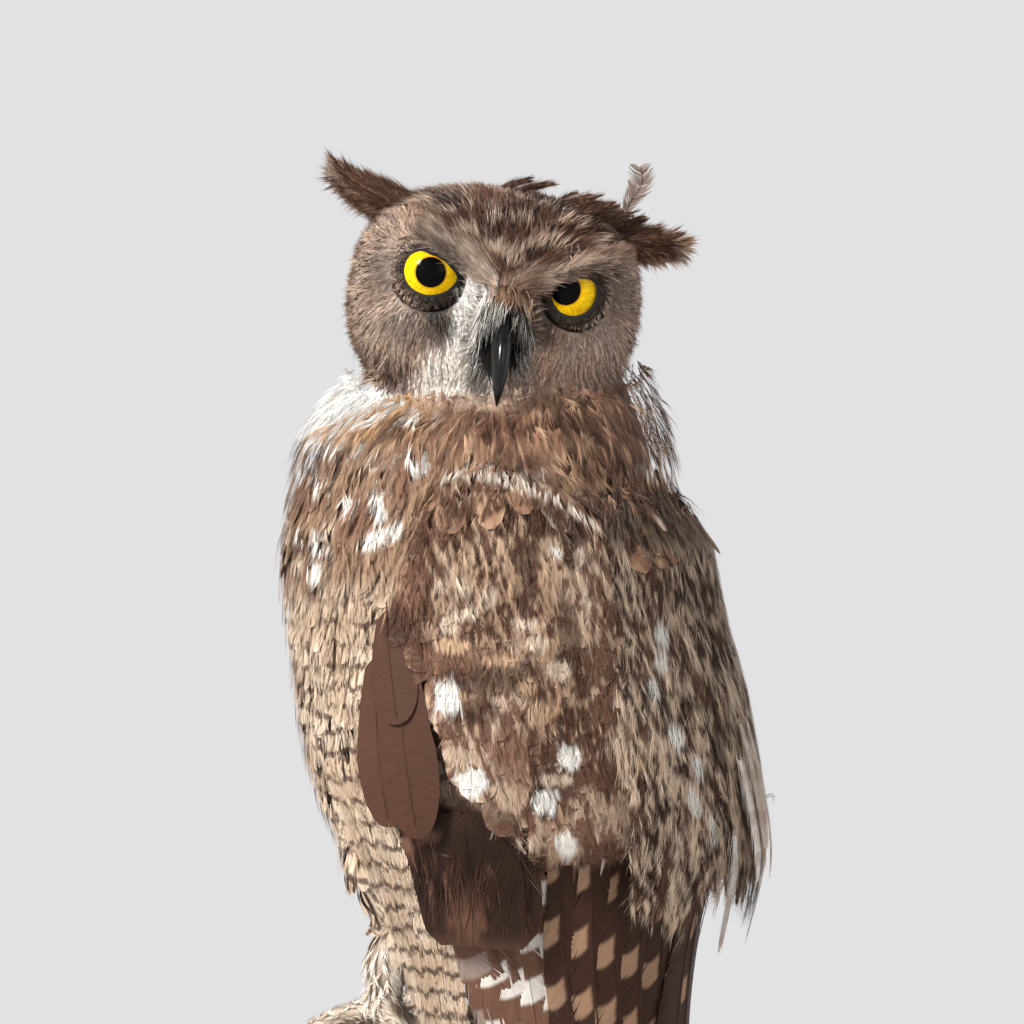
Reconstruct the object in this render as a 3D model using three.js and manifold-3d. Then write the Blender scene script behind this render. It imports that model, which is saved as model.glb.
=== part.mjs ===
// A spotted eagle-owl mounted upright on a cut branch, which two rods hold over a round turned base.
// Millimetres, +Z up. The origin is the centre of the base's underside.
// The body faces -Y, so +X is the owl's own left.
// Every solid of the bird is the outer shape of its plumage.
import * as THREE from "three";
import { mergeVertices } from "three/addons/utils/BufferGeometryUtils.js";
import Module from "manifold-3d";

const wasm = await Module();
wasm.setup();

// ---------------------------------------------------------------- driving dimensions
const GAP = 0.3; // clearance between neighbouring solids

const BASE = { radius: 96, height: 18, foot: 3, lip: 5, cove: 4 };
const ROD = { radius: 5, apart: 104, socket: 12 };
const BRANCH = { y: -46, top: 168, radius: 28, length: 164, stubRadius: 9, stubLength: 40 };
const BRANCH_AXIS_Z = BRANCH.top - BRANCH.radius;

const HEAD = {
  centre: new THREE.Vector3(0, -7, 428.5),
  halfWidth: 54,
  front: 46,
  back: 50,
  up: 41.5,
  down: 43.5,
  turn: 117.5, // over the left shoulder, from straight ahead
  tilt: 8, // towards the owl's left
  nod: 4,
  crownBox: 2.5, // 2 would be round
  jawBox: 2.7,
  faceDepth: 0.4, // the face is what lies further forward than this share of its front
};
const EYE = { radius: 12.2, x: 25, shift: -1, y: -33, z: 6.6 };
const NECK_BASE_Z = 373.6;

// ---------------------------------------------------------------- small tools
const degrees = THREE.MathUtils.degToRad;
const clamp = THREE.MathUtils.clamp;

/** A table's values at one height. Each row is [z, ...values], from the highest z to the lowest. */
function station(table, z) {
  const last = table.length - 1;
  let i = 0;
  while (i < last - 1 && z < table[i + 1][0]) i += 1;
  const [before, from, to, after] = [i - 1, i, i + 1, i + 2].map((k) => table[clamp(k, 0, last)]);
  const t = clamp((z - from[0]) / (to[0] - from[0]), 0, 1);
  const slope = (p, q, k) => (q[0] === p[0] ? 0 : (q[k] - p[k]) / (q[0] - p[0]));
  const step = to[0] - from[0];
  return from.slice(1).map((value, index) => {
    const k = index + 1;
    const inward = slope(before, to, k) * step;
    const outward = slope(from, after, k) * step;
    const t2 = t * t;
    const t3 = t2 * t;
    return (
      (2 * t3 - 3 * t2 + 1) * value +
      (t3 - 2 * t2 + t) * inward +
      (3 * t2 - 2 * t3) * to[k] +
      (t3 - t2) * outward
    );
  });
}

/** A cosine or sine pushed towards a box: power 1 is round, and under 1 is fuller. */
function fuller(value, power) {
  return Math.sign(value) * Math.abs(value) ** power;
}

/** A closed tube. place(angle, t, r) is the point at a share t of its length and r of its radius. */
function formed(around, along, place) {
  const geometry = new THREE.CylinderGeometry(1, 1, 1, around, along);
  const position = geometry.attributes.position;
  for (let i = 0; i < position.count; i += 1) {
    const [x, y, z] = [position.getX(i), position.getY(i), position.getZ(i)];
    const point = place(Math.atan2(z, x), 0.5 - y, Math.min(1, Math.hypot(x, z)));
    position.setXYZ(i, point.x, point.y, point.z);
  }
  return geometry;
}

/** A tube round a curve. size(t) is its section's [half width, half height], and side is its width's way. */
function tube(curve, side, around, along, size, grow = 0) {
  return formed(around, along, (angle, t, r) => {
    const forward = curve.getTangentAt(t);
    const width = side.clone().addScaledVector(forward, -side.dot(forward)).normalize();
    const height = new THREE.Vector3().crossVectors(forward, width);
    const [a, b] = size(t);
    return curve
      .getPointAt(t)
      .addScaledVector(forward, grow * (2 * t - 1))
      .addScaledVector(width, r * (a + grow) * Math.cos(angle))
      .addScaledVector(height, r * (b + grow) * Math.sin(angle));
  });
}

/** A closed three.js geometry as a manifold-3d solid with its faces pointing out. */
function solid(geometry, matrix) {
  const plain = geometry.clone();
  if (matrix) plain.applyMatrix4(matrix);
  plain.deleteAttribute("normal");
  plain.deleteAttribute("uv");
  const merged = mergeVertices(plain, 1e-4);
  const build = (triVerts) =>
    new wasm.Manifold(
      new wasm.Mesh({ numProp: 3, vertProperties: merged.attributes.position.array, triVerts }),
    );
  const triVerts = new Uint32Array(merged.index.array);
  const made = build(triVerts);
  return made.volume() > 0 ? made : build(triVerts.reverse());
}

/** The largest body of a solid, as a three.js geometry. */
function geometryOf(made) {
  const [largest] = made.decompose().sort((a, b) => b.volume() - a.volume());
  const mesh = largest.getMesh();
  const geometry = new THREE.BufferGeometry();
  geometry.setAttribute("position", new THREE.BufferAttribute(mesh.vertProperties, mesh.numProp));
  geometry.setIndex(new THREE.BufferAttribute(mesh.triVerts, 1));
  geometry.computeVertexNormals();
  return geometry;
}

/** body less every cutter, all of them solids. */
function carve(body, ...cutters) {
  return cutters.reduce((left, cutter) => left.subtract(cutter), body);
}

// ---------------------------------------------------------------- trunk and neck
// [z, middle's x, middle's y, half width, depth forward, depth backward]
const TRUNK = [
  [373.3, 0, -10, 61, 69, 68],
  [340, 0, -10, 69, 75, 71],
  [303, 0, -6, 72, 75, 81],
  [271, 0, -3, 71, 73, 84],
  [253, 0, -2, 67, 69, 81],
  [235, 0, 0, 60, 64, 70],
  [221, 0, 1, 50, 57, 56],
  [208, 0, 2, 37, 48, 43],
  [196, 0, 2, 23, 34, 28],
  [187, 0, 2, 10, 16, 12],
];
// The collar is lowest under the face, so it leans away from it.
const NECK = [
  [416, -18, -8, 24, 28, 30],
  [410, -15, -8, 34, 44, 46],
  [403, -12, -9, 42, 55, 54],
  [392, -8, -10, 51, 63, 60],
  [381, -3, -10, 58.5, 68, 66],
  [NECK_BASE_Z, 0, -10, 61.5, 69.5, 68],
];
const BODY_SIDES = 24;
const TRUNK_RINGS = 12;
const NECK_RINGS = 5;

/** A stack of egg-shaped sections round the body's axis. */
function bodyLoft(table, along, grow = 0) {
  const top = table[0][0] + grow;
  const bottom = table[table.length - 1][0] - grow;
  return formed(BODY_SIDES, along, (angle, t, r) => {
    const z = THREE.MathUtils.lerp(top, bottom, t);
    const section = station(table, clamp(z, bottom + grow, top - grow));
    const [x, y, wide, forward, backward] = section;
    const across = Math.cos(angle);
    const ahead = Math.sin(angle);
    const depth = (ahead > 0 ? forward : backward) + grow;
    return new THREE.Vector3(x + r * (wide + grow) * across, y - r * depth * ahead, z);
  });
}

const trunk = solid(bodyLoft(TRUNK, TRUNK_RINGS));
const trunkRoom = solid(bodyLoft(TRUNK, TRUNK_RINGS, GAP));

// ---------------------------------------------------------------- wings
// The outer surface of each is a stack of ellipse arcs round the body's axis.
// Angles are degrees from straight ahead.
// [z, middle's y, half width, half depth, leading edge, rear edge, thickness]
const WING_ARM = [
  [371, -4, 56, 52, 100, 132, 5],
  [362, -5, 68, 68, 94, 140, 14],
  [350, -5, 76, 76, 90, 144, 20],
  [331, -4, 82, 82, 86, 142, 22],
  [306, -3, 85, 85, 80, 139, 22],
  [281, -2, 85, 85, 75.5, 138, 20],
  [263, 0, 84, 85, 73.5, 138, 18],
  [246, 2, 81, 84, 76.5, 139, 14],
  [238, 3, 79, 82, 80, 140, 10],
  [228, 5, 75, 79, 86, 142, 6],
];
const SCAPULARS = [
  [354, -6, 66, 69, 150, 166, 4],
  [340, -5, 78, 75, 145, 172, 12],
  [313, -4, 83, 79.5, 141, 174, 14],
  [288, -3, 86, 86, 139, 174, 14],
  [263, 0, 86, 88, 139, 173, 12],
  [240, 3, 84, 87.5, 141, 171, 9],
  [228, 4, 82, 86, 146, 166, 6],
  [219, 4, 80, 84, 152, 161, 3],
];
const SECONDARIES = [
  [240, 5, 70, 69, 112, 168, 6],
  [226, 6, 72, 70, 110, 170, 8],
  [199, 6, 66, 62, 108, 173, 8],
  [169, 10, 52, 52, 112, 173, 7],
  [130, 16, 43, 44, 122, 172, 6],
  [108, 20.5, 38, 38, 138, 168, 4],
];
const PRIMARIES = [
  [238, 5, 70, 69, 92, 118, 5],
  [226, 6, 72, 70, 88, 120, 7],
  [199, 6, 66, 62, 83, 122, 7],
  [169, 10, 52, 52, 84, 130, 7],
  [130, 16, 43, 44, 85, 150, 6],
  [95, 23, 35, 34, 90, 171, 5],
  [72, 30, 26, 24, 98, 166, 4],
  [60, 34, 20, 17, 112, 152, 3],
];

const SHELL_SIDES = 12;
const SHELL_RINGS = 7;
const SHELL_BOX = 0.8; // below 1 the section's ends are boxier than an ellipse's

/** One side's shell of feathers from a table of arcs: side is 1 on the owl's left and -1 on its right. */
function shell(table, side, grow = 0) {
  const top = table[0][0] + grow;
  const bottom = table[table.length - 1][0] - grow;
  return formed(SHELL_SIDES, SHELL_RINGS, (angle, t, r) => {
    const z = THREE.MathUtils.lerp(top, bottom, t);
    const row = station(table, clamp(z, bottom + grow, top - grow));
    const [middle, wide, deep, lead, rear, thick] = row;
    const half = (degrees(rear - lead) / 2) * (1 + (2 * grow) / wide);
    const turn = degrees(lead + rear) / 2 + r * half * fuller(Math.cos(angle), SHELL_BOX);
    const depth = thick / 2 - r * (thick / 2 + grow) * fuller(Math.sin(angle), SHELL_BOX);
    return new THREE.Vector3(
      side * (wide - depth) * Math.sin(turn),
      middle - (deep - depth) * Math.cos(turn),
      z,
    );
  });
}

/** Arm, scapulars and the two sets of flight feathers of one wing, which meet without overlap. */
function wing(side) {
  const arm = carve(solid(shell(WING_ARM, side)), trunkRoom, neckRoom);
  const armRoom = solid(shell(WING_ARM, side, GAP));
  const scapulars = carve(solid(shell(SCAPULARS, side)), trunkRoom, armRoom);
  const scapularsRoom = solid(shell(SCAPULARS, side, GAP));
  const over = [trunkRoom, armRoom, scapularsRoom];
  const secondaries = carve(solid(shell(SECONDARIES, side)), ...over);
  const secondariesRoom = solid(shell(SECONDARIES, side, GAP));
  const primaries = carve(solid(shell(PRIMARIES, side)), ...over, secondariesRoom);
  const rooms = [secondariesRoom, solid(shell(PRIMARIES, side, GAP))];
  return { solids: { arm, scapulars, secondaries, primaries }, rooms };
}

// ---------------------------------------------------------------- tail
// [z, middle's y, half width, half thickness]
const TAIL = [
  [226, 20, 23, 9],
  [190, 21, 25, 8],
  [150, 24, 28, 6],
  [100, 29, 31, 4.5],
  [60, 33, 33, 3.2],
  [42, 35, 31, 2.6],
  [34, 35.6, 24, 2],
];

const TAIL_BOX = 0.5;
const TAIL_BOW = 3; // the tail is a little hollow on its front
const TAIL_SIDES = 12;
const TAIL_RINGS = 6;

function tailLoft() {
  const [top, bottom] = [TAIL[0][0], TAIL[TAIL.length - 1][0]];
  return formed(TAIL_SIDES, TAIL_RINGS, (angle, t, r) => {
    const z = THREE.MathUtils.lerp(top, bottom, t);
    const [middle, wide, thick] = station(TAIL, z);
    const across = fuller(Math.cos(angle), TAIL_BOX);
    const ahead = TAIL_BOW * across * across + thick * fuller(Math.sin(angle), TAIL_BOX);
    return new THREE.Vector3(r * wide * across, middle - r * ahead, z);
  });
}

// ---------------------------------------------------------------- head
// The head's own frame is the body's, before its group turns it: face to -Y, the owl's left at +X.
const BROW = { from: [4, -3], to: [46, 30], width: 5, height: 4 };
const DISH = { width: 15, depth: 5.5 };
const BRIDGE = { width: 6, height: 3.5 };

/** How far x, z is from the line of one brow, both in the plane of the face. */
function browDistance(x, z) {
  const [ax, az] = BROW.from;
  const [dx, dz] = [BROW.to[0] - ax, BROW.to[1] - az];
  const along = clamp(((Math.abs(x) - ax) * dx + (z - az) * dz) / (dx * dx + dz * dz), 0, 1);
  return Math.hypot(Math.abs(x) - ax - along * dx, z - az - along * dz);
}

function headPoint(direction, grow = 0) {
  const boxiness = direction.z > 0 ? HEAD.crownBox : HEAD.jawBox;
  const deep = direction.y < 0 ? HEAD.front : HEAD.back;
  const high = direction.z > 0 ? HEAD.up : HEAD.down;
  const reach =
    Math.abs(direction.x / HEAD.halfWidth) ** boxiness +
    Math.abs(direction.y / deep) ** boxiness +
    Math.abs(direction.z / high) ** boxiness;
  const point = direction.clone().multiplyScalar(reach ** (-1 / boxiness));
  if (point.y < -HEAD.front * HEAD.faceDepth) {
    const dish = Math.hypot(Math.abs(point.x) - EYE.x, point.z - EYE.z);
    const brow = BROW.height * Math.exp(-((browDistance(point.x, point.z) / BROW.width) ** 2));
    const bridge = BRIDGE.height * Math.exp(-((point.x / BRIDGE.width) ** 2));
    point.y += DISH.depth * Math.exp(-((dish / DISH.width) ** 2)) - brow - bridge;
  }
  return point.addScaledVector(direction, grow);
}

/** A sphere whose every vertex is moved to headPoint of its direction. */
function headLoft(grow = 0) {
  const geometry = new THREE.SphereGeometry(1, 26, 16);
  geometry.rotateX(Math.PI / 2);
  const position = geometry.attributes.position;
  for (let i = 0; i < position.count; i += 1) {
    const direction = new THREE.Vector3().fromBufferAttribute(position, i).normalize();
    const point = headPoint(direction, grow);
    position.setXYZ(i, point.x, point.y, point.z);
  }
  return geometry;
}

const SIDES = { left: 1, right: -1 };

/** Where an eye sits in the head's frame. Both glass eyes were set a little to the owl's right. */
function eyeCentre(side) {
  return new THREE.Vector3(side * EYE.x + EYE.shift, EYE.y, EYE.z);
}

function eyeBall(grow = 0) {
  return new THREE.SphereGeometry(EYE.radius + grow, 12, 9);
}

const BILL = {
  upper: [
    [0, -38, -3],
    [0, -49, -8],
    [0, -57, -18],
    [0, -59, -29],
    [0, -55.5, -37.5],
  ],
  lower: [
    [0, -38, -20],
    [0, -46, -24],
    [0, -51.5, -30],
  ],
  upperWidth: 5.8,
  upperHeight: 7.4,
  lowerWidth: 4.8,
  lowerHeight: 3,
};

function curveThrough(points) {
  return new THREE.CatmullRomCurve3(points.map((p) => new THREE.Vector3(...p)));
}

function billLoft(half, grow = 0) {
  const [wide, high] = [BILL[`${half}Width`], BILL[`${half}Height`]];
  const taper = (t) => Math.max(0.1, (1 - t ** 1.7) ** 0.8);
  return tube(
    curveThrough(BILL[half]),
    new THREE.Vector3(1, 0, 0),
    10,
    8,
    (t) => [wide * taper(t), high * taper(t)],
    grow,
  );
}

// The owl's right tuft stands out and up, and its left one has sunk until it lies level.
const EAR = {
  right: {
    route: [
      [-34, -6, 25],
      [-48, -5, 29.5],
      [-60, -3, 36.5],
      [-70.5, -1, 42],
    ],
    height: 11.5,
    thickness: 6,
  },
  left: {
    route: [
      [34, -6, 26],
      [48, -5, 28.5],
      [60, -3, 28.5],
      [71, -1, 27.5],
    ],
    height: 10,
    thickness: 5.5,
  },
};

function earLoft(name) {
  const { route, height, thickness } = EAR[name];
  const slim = (t) => Math.max(0.12, (1 - t ** 2.2) ** 0.7);
  return tube(
    curveThrough(route),
    new THREE.Vector3(0, 0, 1),
    10,
    6,
    (t) => [height * slim(t), thickness * slim(t)],
  );
}

// ---------------------------------------------------------------- legs and feet
const LEG = { x: 22, thigh: [26, 17], tarsus: [14.5, 10.5] };
const KNEE = [29, -31, 243];
const HEEL = [LEG.x + 1, -27.5, 204];
const FOOT = [LEG.x, BRANCH.y, BRANCH.top + 11.2];

// The digits of the left foot: way is 1 ahead and -1 behind, splay is degrees outward,
// and length and claw are lengths along the digit.
const DIGITS = [
  { name: "1", way: -1, splay: -20, length: 25, claw: 17 },
  { name: "2", way: 1, splay: -17, length: 35, claw: 18 },
  { name: "3", way: 1, splay: 13, length: 39, claw: 18 },
  { name: "4", way: -1, splay: 30, length: 30, claw: 16 },
];
const TOE_RADIUS = 5.6;
const CLAW_RADIUS = 3.3;
const TOE_ROUTE_RADIUS = BRANCH.radius + GAP + TOE_RADIUS;

/** A point on a digit: distance from the foot's middle round the branch, height over the toe's route. */
function onBranch(side, digit, distance, height) {
  const turn = (digit.way * distance * Math.cos(degrees(digit.splay))) / TOE_ROUTE_RADIUS;
  const across = distance * Math.sin(degrees(digit.splay));
  const radius = TOE_ROUTE_RADIUS + height;
  return new THREE.Vector3(
    side * (LEG.x + across),
    BRANCH.y - radius * Math.sin(turn),
    BRANCH_AXIS_Z + radius * Math.cos(turn),
  );
}

function toeLoft(side, digit, grow = 0) {
  const start = 3;
  const route = [0, 0.33, 0.67, 1].map((t) =>
    onBranch(side, digit, THREE.MathUtils.lerp(start, digit.length, t), 0),
  );
  const taper = 0.25;
  const plump = (t) => TOE_RADIUS * (1 - taper * t * t);
  return tube(
    new THREE.CatmullRomCurve3(route),
    new THREE.Vector3(1, 0, 0),
    8,
    5,
    (t) => [plump(t), plump(t)],
    grow,
  );
}

function clawLoft(side, digit) {
  const arch = 2.6;
  const tip = 0.75;
  const drop = TOE_RADIUS - tip - 0.15;
  const route = [0, 0.35, 0.7, 1].map((t) =>
    onBranch(
      side,
      digit,
      digit.length + 2 * GAP + digit.claw * t,
      arch * Math.sin(Math.PI * t ** 0.8) - drop * t * t,
    ),
  );
  const slim = (t) => THREE.MathUtils.lerp(CLAW_RADIUS, tip, t ** 0.85);
  return tube(
    new THREE.CatmullRomCurve3(route),
    new THREE.Vector3(1, 0, 0),
    6,
    5,
    (t) => [slim(t) * 0.85, slim(t)],
  );
}

function limb(side, from, to, [start, end], grow = 0) {
  const mirrored = [from, to].map(([x, y, z]) => new THREE.Vector3(side * x, y, z));
  const endSize = 0.35; // radius of the rounded ends, as a share of the limb's
  const size = (t) => {
    const rounding = Math.sqrt(Math.max(0, 1 - (2 * Math.abs(t - 0.5)) ** 6));
    const radius = THREE.MathUtils.lerp(start, end, t) * Math.min(1, rounding + endSize);
    return [radius, radius];
  };
  return tube(
    new THREE.LineCurve3(...mirrored),
    new THREE.Vector3(1, 0, 0),
    12,
    4,
    size,
    grow,
  );
}

// ---------------------------------------------------------------- stand
/** The branch lies along X. Its bumps only go inward where the feet grip it. */
function branchLoft(grow = 0) {
  const [gripEnd, bumpyFrom] = [52, 74];
  const [gripBump, freeBump] = [0.5, 1.4];
  const saw = 0.12; // slant of the sawn ends
  return formed(16, 8, (angle, t, r) => {
    const x = THREE.MathUtils.lerp(-BRANCH.length / 2, BRANCH.length / 2, t);
    const grip = 1 - THREE.MathUtils.smoothstep(Math.abs(x), gripEnd, bumpyFrom);
    const bumps = Math.sin(3 * angle + x / 17) * Math.cos(2 * angle - x / 29);
    const worn = -gripBump * grip * (1 + bumps);
    const radius = BRANCH.radius + grow + worn + freeBump * (1 - grip) * bumps;
    const slant = t === 0 || t === 1 ? saw * Math.sin(angle) * radius * Math.sign(x) : 0;
    return new THREE.Vector3(
      x + r * slant,
      BRANCH.y - r * radius * Math.cos(angle),
      BRANCH_AXIS_Z - r * radius * Math.sin(angle),
    );
  });
}

/** A sawn side twig near the right end of the branch, pointing ahead and a little down. */
function stubLoft() {
  const root = new THREE.Vector3(-66, BRANCH.y, BRANCH_AXIS_Z);
  const way = new THREE.Vector3(-0.25, -0.86, -0.35).normalize();
  const end = root.clone().addScaledVector(way, BRANCH.stubLength);
  const radius = (t) => BRANCH.stubRadius * (1.25 - 0.35 * t);
  return tube(
    new THREE.LineCurve3(root, end),
    new THREE.Vector3(1, 0, 0),
    10,
    2,
    (t) => [radius(t), radius(t)],
  );
}

function rodGeometry(grow = 0) {
  const top = BRANCH_AXIS_Z - BRANCH.radius + ROD.socket;
  const height = top - (BASE.height + GAP) + 2 * grow;
  const rod = new THREE.CylinderGeometry(ROD.radius + grow, ROD.radius + grow, height, 20);
  rod.rotateX(Math.PI / 2);
  rod.translate(0, 0, (top + BASE.height + GAP) / 2);
  return rod;
}

function baseGeometry() {
  const { radius, height, foot, lip, cove } = BASE;
  const profile = [
    [0, 0],
    [radius - foot, 0],
    [radius, foot],
    [radius, height - lip - cove],
    [radius - cove, height - lip],
    [radius - cove - 1, height - lip / 2],
    [radius - cove - lip, height],
    [0, height],
  ].map(([r, z]) => new THREE.Vector2(r, z));
  const base = new THREE.LatheGeometry(profile, 36);
  base.rotateX(Math.PI / 2);
  return base;
}

// ---------------------------------------------------------------- assembly
const owl = new THREE.Group();
owl.name = "spotted_eagle_owl";

const PLUMAGE = new THREE.MeshStandardMaterial({ color: 0x6b5546, roughness: 0.9 });
const FACE = new THREE.MeshStandardMaterial({ color: 0x8d7f72, roughness: 0.9 });
const PALE = new THREE.MeshStandardMaterial({ color: 0xcdbfa6, roughness: 0.9 });
const HORN = new THREE.MeshStandardMaterial({ color: 0x17181a, roughness: 0.25 });
const GLASS_EYE = new THREE.MeshStandardMaterial({ color: 0xf2c811, roughness: 0.05 });
const BARK = new THREE.MeshStandardMaterial({ color: 0x6a5a49, roughness: 0.95 });
const WALNUT = new THREE.MeshStandardMaterial({ color: 0x3b2416, roughness: 0.35 });
const STEEL = new THREE.MeshStandardMaterial({ color: 0x2a2a2b, roughness: 0.4, metalness: 0.6 });

function add(parent, name, geometry, material) {
  const mesh = new THREE.Mesh(geometry, material);
  mesh.name = name;
  parent.add(mesh);
  return mesh;
}

// Head, with everything that turns with it.
const headGroup = new THREE.Group();
headGroup.position.copy(HEAD.centre);
headGroup.rotation.order = "ZYX";
headGroup.rotation.set(degrees(HEAD.nod), degrees(HEAD.tilt), degrees(HEAD.turn));
headGroup.updateMatrix();
owl.add(headGroup);

const headRoom = solid(headLoft(GAP));
const eyeRooms = Object.values(SIDES).map((side) => {
  const place = new THREE.Matrix4().setPosition(eyeCentre(side));
  return solid(eyeBall(GAP), place);
});
const billRooms = ["upper", "lower"].map((half) => solid(billLoft(half, GAP)));
add(headGroup, "head", geometryOf(carve(solid(headLoft()), ...eyeRooms, ...billRooms)), FACE);
for (const [name, side] of Object.entries(SIDES)) {
  const eye = add(headGroup, `eye_${name}`, eyeBall(), GLASS_EYE);
  eye.position.copy(eyeCentre(side));
  const tuft = carve(solid(earLoft(name)), headRoom);
  add(headGroup, `ear_tuft_${name}`, geometryOf(tuft), PLUMAGE);
}
add(headGroup, "bill_upper", geometryOf(solid(billLoft("upper"))), HORN);
add(headGroup, "bill_lower", geometryOf(carve(solid(billLoft("lower")), billRooms[0])), HORN);

// Neck and trunk.
const headCutters = [headLoft(GAP), billLoft("upper", GAP), billLoft("lower", GAP)].map((geometry) =>
  solid(geometry, headGroup.matrix),
);
const neck = carve(solid(bodyLoft(NECK, NECK_RINGS)), ...headCutters);
const neckRoom = solid(bodyLoft(NECK, NECK_RINGS, GAP));
add(owl, "neck", geometryOf(neck), PLUMAGE);
const thighRooms = Object.values(SIDES).map((side) =>
  solid(limb(side, KNEE, HEEL, LEG.thigh, GAP)),
);
add(owl, "trunk", geometryOf(carve(trunk, ...thighRooms)), PLUMAGE);

// Wings and tail.
const flightRooms = [];
for (const [name, side] of Object.entries(SIDES)) {
  const { solids, rooms } = wing(side);
  flightRooms.push(...rooms);
  for (const [part, made] of Object.entries(solids)) {
    add(owl, `wing_${name}_${part}`, geometryOf(made), PLUMAGE);
  }
}
add(owl, "tail", geometryOf(carve(solid(tailLoft()), trunkRoom, ...flightRooms)), PLUMAGE);

// Legs, toes and claws, each cut back from what it grows from.
const branchRoom = solid(branchLoft(GAP));
for (const [name, side] of Object.entries(SIDES)) {
  const tarsusRoom = solid(limb(side, HEEL, FOOT, LEG.tarsus, GAP));
  const thigh = solid(limb(side, KNEE, HEEL, LEG.thigh));
  const tarsus = solid(limb(side, HEEL, FOOT, LEG.tarsus));
  add(owl, `leg_${name}_thigh`, geometryOf(thigh), PALE);
  add(
    owl,
    `leg_${name}_tarsus`,
    geometryOf(carve(tarsus, trunkRoom, ...thighRooms, branchRoom)),
    PALE,
  );
  const taken = [tarsusRoom, branchRoom];
  for (const digit of DIGITS) {
    const toe = carve(solid(toeLoft(side, digit)), ...taken);
    add(owl, `toe_${name}_${digit.name}`, geometryOf(toe), PALE);
    taken.push(solid(toeLoft(side, digit, GAP)));
  }
  for (const digit of DIGITS) {
    const claw = carve(solid(clawLoft(side, digit)), branchRoom, ...taken.slice(2));
    add(owl, `claw_${name}_${digit.name}`, geometryOf(claw), HORN);
  }
}

// Branch, rods and base.
const rodPlaces = [-ROD.apart / 2, ROD.apart / 2].map((x) =>
  new THREE.Matrix4().setPosition(x, BRANCH.y, 0),
);
const sockets = rodPlaces.map((place) => solid(rodGeometry(GAP), place));
const branch = carve(solid(branchLoft()).add(solid(stubLoft())), ...sockets);
add(owl, "stand_perch", geometryOf(branch), BARK);
["right", "left"].forEach((name, i) => {
  add(owl, `stand_rod_${name}`, rodGeometry(), STEEL).applyMatrix4(rodPlaces[i]);
});
add(owl, "stand_base", baseGeometry(), WALNUT);

export default owl;
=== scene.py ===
import math

import bpy
import numpy as np
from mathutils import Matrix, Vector
from mathutils.bvhtree import BVHTree


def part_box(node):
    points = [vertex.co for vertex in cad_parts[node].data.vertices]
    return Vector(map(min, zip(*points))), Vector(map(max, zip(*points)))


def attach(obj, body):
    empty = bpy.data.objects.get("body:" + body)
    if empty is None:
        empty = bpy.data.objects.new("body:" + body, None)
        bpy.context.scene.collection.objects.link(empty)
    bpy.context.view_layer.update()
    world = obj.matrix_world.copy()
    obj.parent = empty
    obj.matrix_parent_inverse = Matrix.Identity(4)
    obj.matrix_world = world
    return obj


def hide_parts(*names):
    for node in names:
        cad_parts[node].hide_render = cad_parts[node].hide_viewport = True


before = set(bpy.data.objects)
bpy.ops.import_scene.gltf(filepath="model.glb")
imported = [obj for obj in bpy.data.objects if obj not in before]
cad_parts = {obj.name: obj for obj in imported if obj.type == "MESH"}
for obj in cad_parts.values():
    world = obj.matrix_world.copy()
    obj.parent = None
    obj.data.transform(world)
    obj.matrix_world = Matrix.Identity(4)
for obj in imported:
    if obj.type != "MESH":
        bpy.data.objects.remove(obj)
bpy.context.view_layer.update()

# A mounted spotted eagle-owl. Lengths here are millimetres in the row's frame, and MM makes them metres.
# The body faces -Y, +X is the owl's own left, and an angle on the body is degrees from straight ahead,
# towards the owl's left.
MM = 0.001
SIDES = {"left": 1, "right": -1}
rng = np.random.default_rng(20)

# ---------------------------------------------------------------- places that the frame's solids share
HEAD_CENTRE = np.array([0.0, -7.0, 428.5])
HEAD_TURN, HEAD_TILT, HEAD_NOD = 117.5, 8.0, 4.0
EYE_RADIUS = 12.2
EYES = {"left": np.array([24.0, -33.0, 6.6]), "right": np.array([-26.0, -33.0, 6.6])}
BILL_BASE = np.array([0.0, -46.0, -3.0])
BRANCH_Y, BRANCH_Z = -46.0, 140.0
BODY_AXIS = [(470, -8), (371, -8), (306, -4), (246, 1), (169, 10), (95, 23), (34, 35)]  # z, y
FOOT_X = 22.0

PLUMAGE_NODES = ["head", "neck", "trunk"]
for side_name in SIDES:
    PLUMAGE_NODES += [f"wing_{side_name}_{part}" for part in ("arm", "scapulars")]
    PLUMAGE_NODES += [f"leg_{side_name}_{part}" for part in ("thigh", "tarsus")]
    PLUMAGE_NODES += [f"toe_{side_name}_{digit}" for digit in "1234"]


# ---------------------------------------------------------------- small tools
def unit(vectors):
    return vectors / np.maximum(np.linalg.norm(vectors, axis=-1, keepdims=True), 1e-9)


def smoothstep(low, high, values):
    t = np.clip((values - low) / (high - low), 0.0, 1.0)
    return t * t * (3 - 2 * t)


def turned(axis, degrees):
    """A rotation about row axis 0, 1 or 2 as a 3 by 3 matrix."""
    c, s = math.cos(math.radians(degrees)), math.sin(math.radians(degrees))
    i, j = [(1, 2), (2, 0), (0, 1)][axis]
    matrix = np.eye(3)
    matrix[i, i] = matrix[j, j] = c
    matrix[i, j], matrix[j, i] = -s, s
    return matrix


HEAD_AXES = turned(2, HEAD_TURN) @ turned(1, HEAD_TILT) @ turned(0, HEAD_NOD)


def to_head(points):
    return (points - HEAD_CENTRE) @ HEAD_AXES


def from_head(points):
    return np.asarray(points) @ HEAD_AXES.T + HEAD_CENTRE


def axis_y(z):
    heights, places = zip(*reversed(BODY_AXIS))
    return np.interp(z, heights, places)


def body_angle(points):
    """Degrees round the body from straight ahead, towards the owl's left."""
    ahead = -(points[..., 1] - axis_y(points[..., 2]))
    return np.degrees(np.arctan2(points[..., 0], ahead))


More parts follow.
